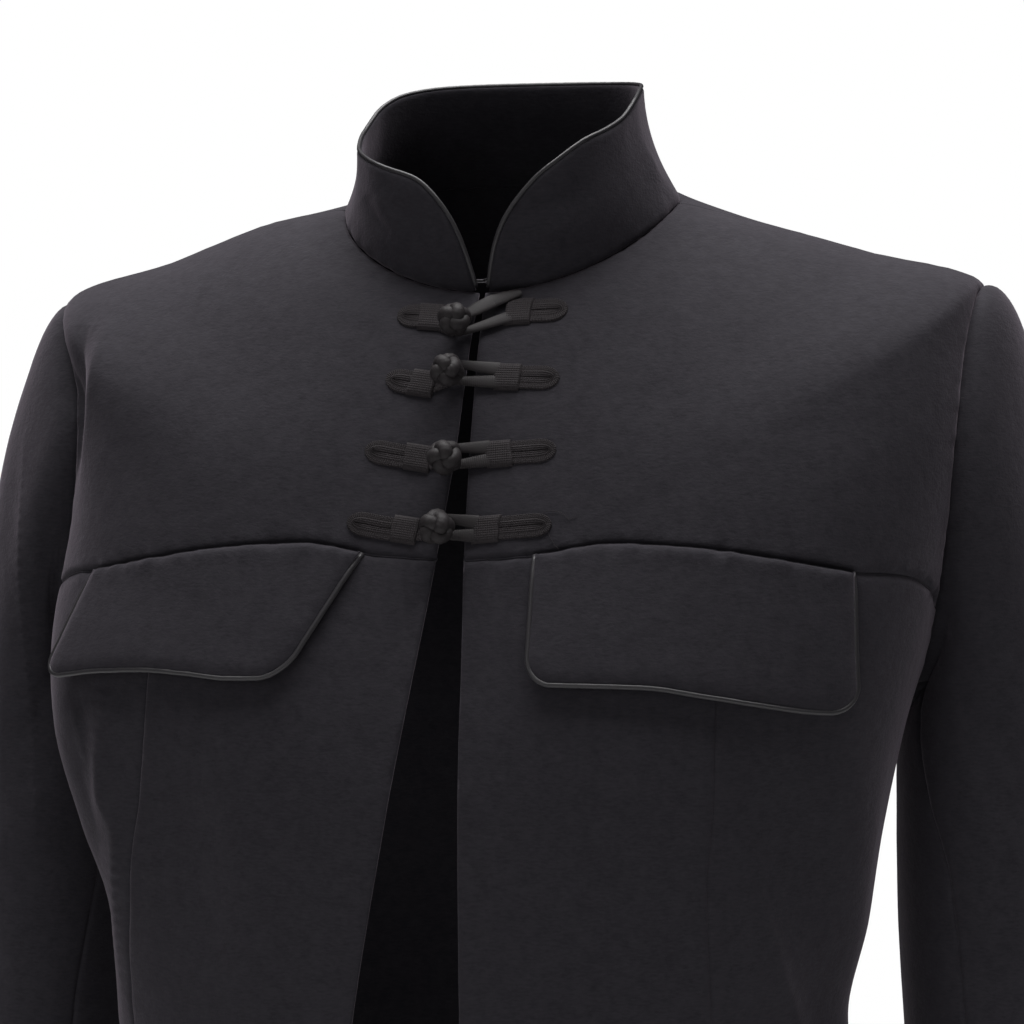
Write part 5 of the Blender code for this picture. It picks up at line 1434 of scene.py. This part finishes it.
WOOL_SHADES = ((0.32, (0.0226, 0.0207, 0.0258)), (0.70, (0.0394, 0.0367, 0.0440)))
SATIN_SHADES = ((0.30, (0.0215, 0.0182, 0.0196)), (0.75, (0.0320, 0.0275, 0.0292)))
BRAID_SHADES = ((0.30, (0.0250, 0.0210, 0.0230)), (0.75, (0.0470, 0.0405, 0.0435)))
# The piping's shades are paler than the satin's, though it is the same satin: a painted highlight along the
# piping.
PIPING_SHADES_PAINTED_HIGHLIGHT = ((0.30, (0.0300, 0.0280, 0.0310)), (0.75, (0.0480, 0.0450, 0.0490)))
METAL_SHADES = ((0.30, (0.020, 0.019, 0.021)), (0.75, (0.040, 0.038, 0.040)))


def make_trim(name, tones, scale, roughness, bump, specular, metallic=0.0):
    """A trim's material: fine threads as colour and bump in the object's own space."""
    material, tree, shader = new_material(name)
    place = add_node(tree, "ShaderNodeTexCoord").outputs["Object"]
    thread = add_node(tree, "ShaderNodeTexNoise", {
        "Vector": place, "Scale": scale, "Detail": 3.0, "Roughness": 0.6,
    })
    tree.links.new(shades(tree, thread.outputs["Fac"], tones), shader.inputs["Base Color"])
    relief = add_node(tree, "ShaderNodeBump", {
        "Height": thread.outputs["Fac"], "Strength": bump, "Distance": 0.0002,
    })
    tree.links.new(relief.outputs["Normal"], shader.inputs["Normal"])
    shader.inputs["Roughness"].default_value = roughness
    shader.inputs["Specular IOR Level"].default_value = specular
    shader.inputs["Metallic"].default_value = metallic
    return material


# Studio: a plain white room, one large soft light overhead and a softer one from the front
WORLD_STRENGTH = 0.035
CAMERA_AZIMUTH = 12.5
CAMERA_DISTANCE = 1.7
CAMERA_HEIGHT = -0.1336
CAMERA_LENS = 138.41
FLOOR_Z = -0.72
FLOOR_RADIUS = 2.4
FLOOR_SOLID = 0.9
FLOOR_POINTS = 96
OVERHEAD_POWER = 66.0
FRONT_POWER = 7.0


def make_world():
    world = bpy.data.worlds.new("studio")
    world.use_nodes = True
    tree = world.node_tree
    shown = tree.nodes["Background"]
    shown.inputs["Color"].default_value = (1.0, 1.0, 1.0, 1.0)
    shown.inputs["Strength"].default_value = 1.0
    up = add_node(tree, "ShaderNodeSeparateXYZ", {
        "Vector": add_node(tree, "ShaderNodeTexCoord").outputs["Generated"],
    })
    height = add_node(tree, "ShaderNodeMapRange", {
        "Value": up.outputs["Z"], "From Min": -1.0, "From Max": 1.0, "To Min": 0.12, "To Max": 1.35,
    })
    lit = add_node(tree, "ShaderNodeBackground", {
        "Color": (0.97, 0.98, 1.0, 1.0),
        "Strength": add_node(tree, "ShaderNodeMath", {
            0: height.outputs["Result"], 1: WORLD_STRENGTH,
        }, operation="MULTIPLY").outputs[0],
    })
    mix = add_node(tree, "ShaderNodeMixShader", {
        0: add_node(tree, "ShaderNodeLightPath").outputs["Is Camera Ray"],
        1: lit.outputs["Background"], 2: shown.outputs["Background"],
    })
    tree.links.new(mix.outputs["Shader"], tree.nodes["World Output"].inputs["Surface"])
    bpy.context.scene.world = world


def add_light(name, place, aim, size, power):
    light = bpy.data.lights.new(name, "AREA")
    light.shape = "RECTANGLE"
    light.size, light.size_y = size
    light.energy = power
    obj = bpy.data.objects.new(name, light)
    obj.location = place
    obj.rotation_euler = (Vector(aim) - Vector(place)).to_track_quat("-Z", "Y").to_euler()
    COLLECTION.objects.link(obj)
    return obj


def make_floor():
    """A pale round floor that fades into the white room at its rim."""
    turn = np.linspace(0, 2 * math.pi, FLOOR_POINTS + 1)[:-1]
    points = np.column_stack([np.cos(turn), np.sin(turn), np.zeros(FLOOR_POINTS)]) * FLOOR_RADIUS
    material, tree, shader = new_material("floor")
    place = add_node(tree, "ShaderNodeTexCoord").outputs["Object"]
    grain = add_node(tree, "ShaderNodeTexNoise", {"Vector": place, "Scale": 3.0, "Detail": 3.0})
    colours = ((0.3, (0.86, 0.86, 0.86)), (0.7, (0.89, 0.89, 0.89)))
    tree.links.new(shades(tree, grain.outputs["Fac"], colours), shader.inputs["Base Color"])
    shader.inputs["Roughness"].default_value = 0.9
    away = add_node(tree, "ShaderNodeVectorMath", {0: place}, operation="LENGTH")
    fade = add_node(tree, "ShaderNodeMapRange", {
        "Value": away.outputs["Value"], "From Min": FLOOR_SOLID, "From Max": FLOOR_RADIUS,
        "To Min": 1.0, "To Max": 0.0,
    }, interpolation_type="SMOOTHSTEP")
    tree.links.new(fade.outputs["Result"], shader.inputs["Alpha"])
    mesh = bpy.data.meshes.new("floor")
    mesh.from_pydata(points.tolist(), [], [list(range(FLOOR_POINTS))])
    mesh.materials.append(material)
    floor = bpy.data.objects.new("floor", mesh)
    floor.location.z = FLOOR_Z
    COLLECTION.objects.link(floor)
    return floor


def make_camera():
    data = bpy.data.cameras.new("camera")
    data.lens = CAMERA_LENS
    data.sensor_width = 36.0
    camera = bpy.data.objects.new("camera", data)
    azimuth = math.radians(CAMERA_AZIMUTH)
    camera.location = (
        CAMERA_DISTANCE * math.sin(azimuth), -CAMERA_DISTANCE * math.cos(azimuth), CAMERA_HEIGHT,
    )
    camera.rotation_euler = (math.pi / 2, 0.0, azimuth)
    COLLECTION.objects.link(camera)
    bpy.context.scene.camera = camera
    return camera


COLLECTION = bpy.data.collections.new("mandarin_collar_jacket")
bpy.context.scene.collection.children.link(COLLECTION)
MATERIAL = {
    "wool": make_wool(),
    "satin": make_trim("satin", SATIN_SHADES, 2600.0, 0.58, 0.30, 0.30),
    # The piping is the satin with less roughness and more specular, which is real gloss, and with paler
    # shades, which are a painted highlight.
    "piping": make_trim("piping", PIPING_SHADES_PAINTED_HIGHLIGHT, 2600.0, 0.36, 0.15, 0.50),
    "braid": make_trim("braid", BRAID_SHADES, 2200.0, 0.72, 0.35, 0.22),
    "hook_metal": make_trim("hook_metal", METAL_SHADES, 1500.0, 0.38, 0.10, 0.5, metallic=1.0),
}
SLEEVE_CREASES = {"left": SLEEVE_CREASES, "right": mirrored(SLEEVE_CREASES) + RIGHT_SLEEVE_CREASES}


cloth_pieces = {}
piping_pieces = {}
for wearer_side in SIDES:
    for piece in make_fronts(wearer_side) + [make_back(wearer_side)] + make_sleeve(wearer_side):
        cloth_pieces[piece.name.removesuffix("_cloth")] = piece
    flap, flap_piping = make_flap(wearer_side)
    cloth_pieces["pocket_flap_" + wearer_side] = flap
    piping_pieces["pocket_flap_" + wearer_side] = flap_piping
cloth_pieces["collar"], piping_pieces["collar"] = make_collar()
for index, frog_row in enumerate(FROGS):
    make_frog(index + 1, frog_row)
for wire in ("hook", "eye"):
    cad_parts[wire].data.materials.clear()
    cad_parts[wire].data.materials.append(MATERIAL["hook_metal"])

make_world()
lights = [
    add_light("overhead", (0.0, 0.02, 1.75), (0.0, -0.05, -0.1), (2.2, 1.8), OVERHEAD_POWER),
    add_light("front_fill", (-0.9, -2.6, 0.5), (0.0, 0.0, -0.2), (1.8, 1.8), FRONT_POWER),
]
make_floor()
make_camera()
bpy.context.scene.view_settings.view_transform = "Standard"
bpy.context.scene.view_settings.look = "None"
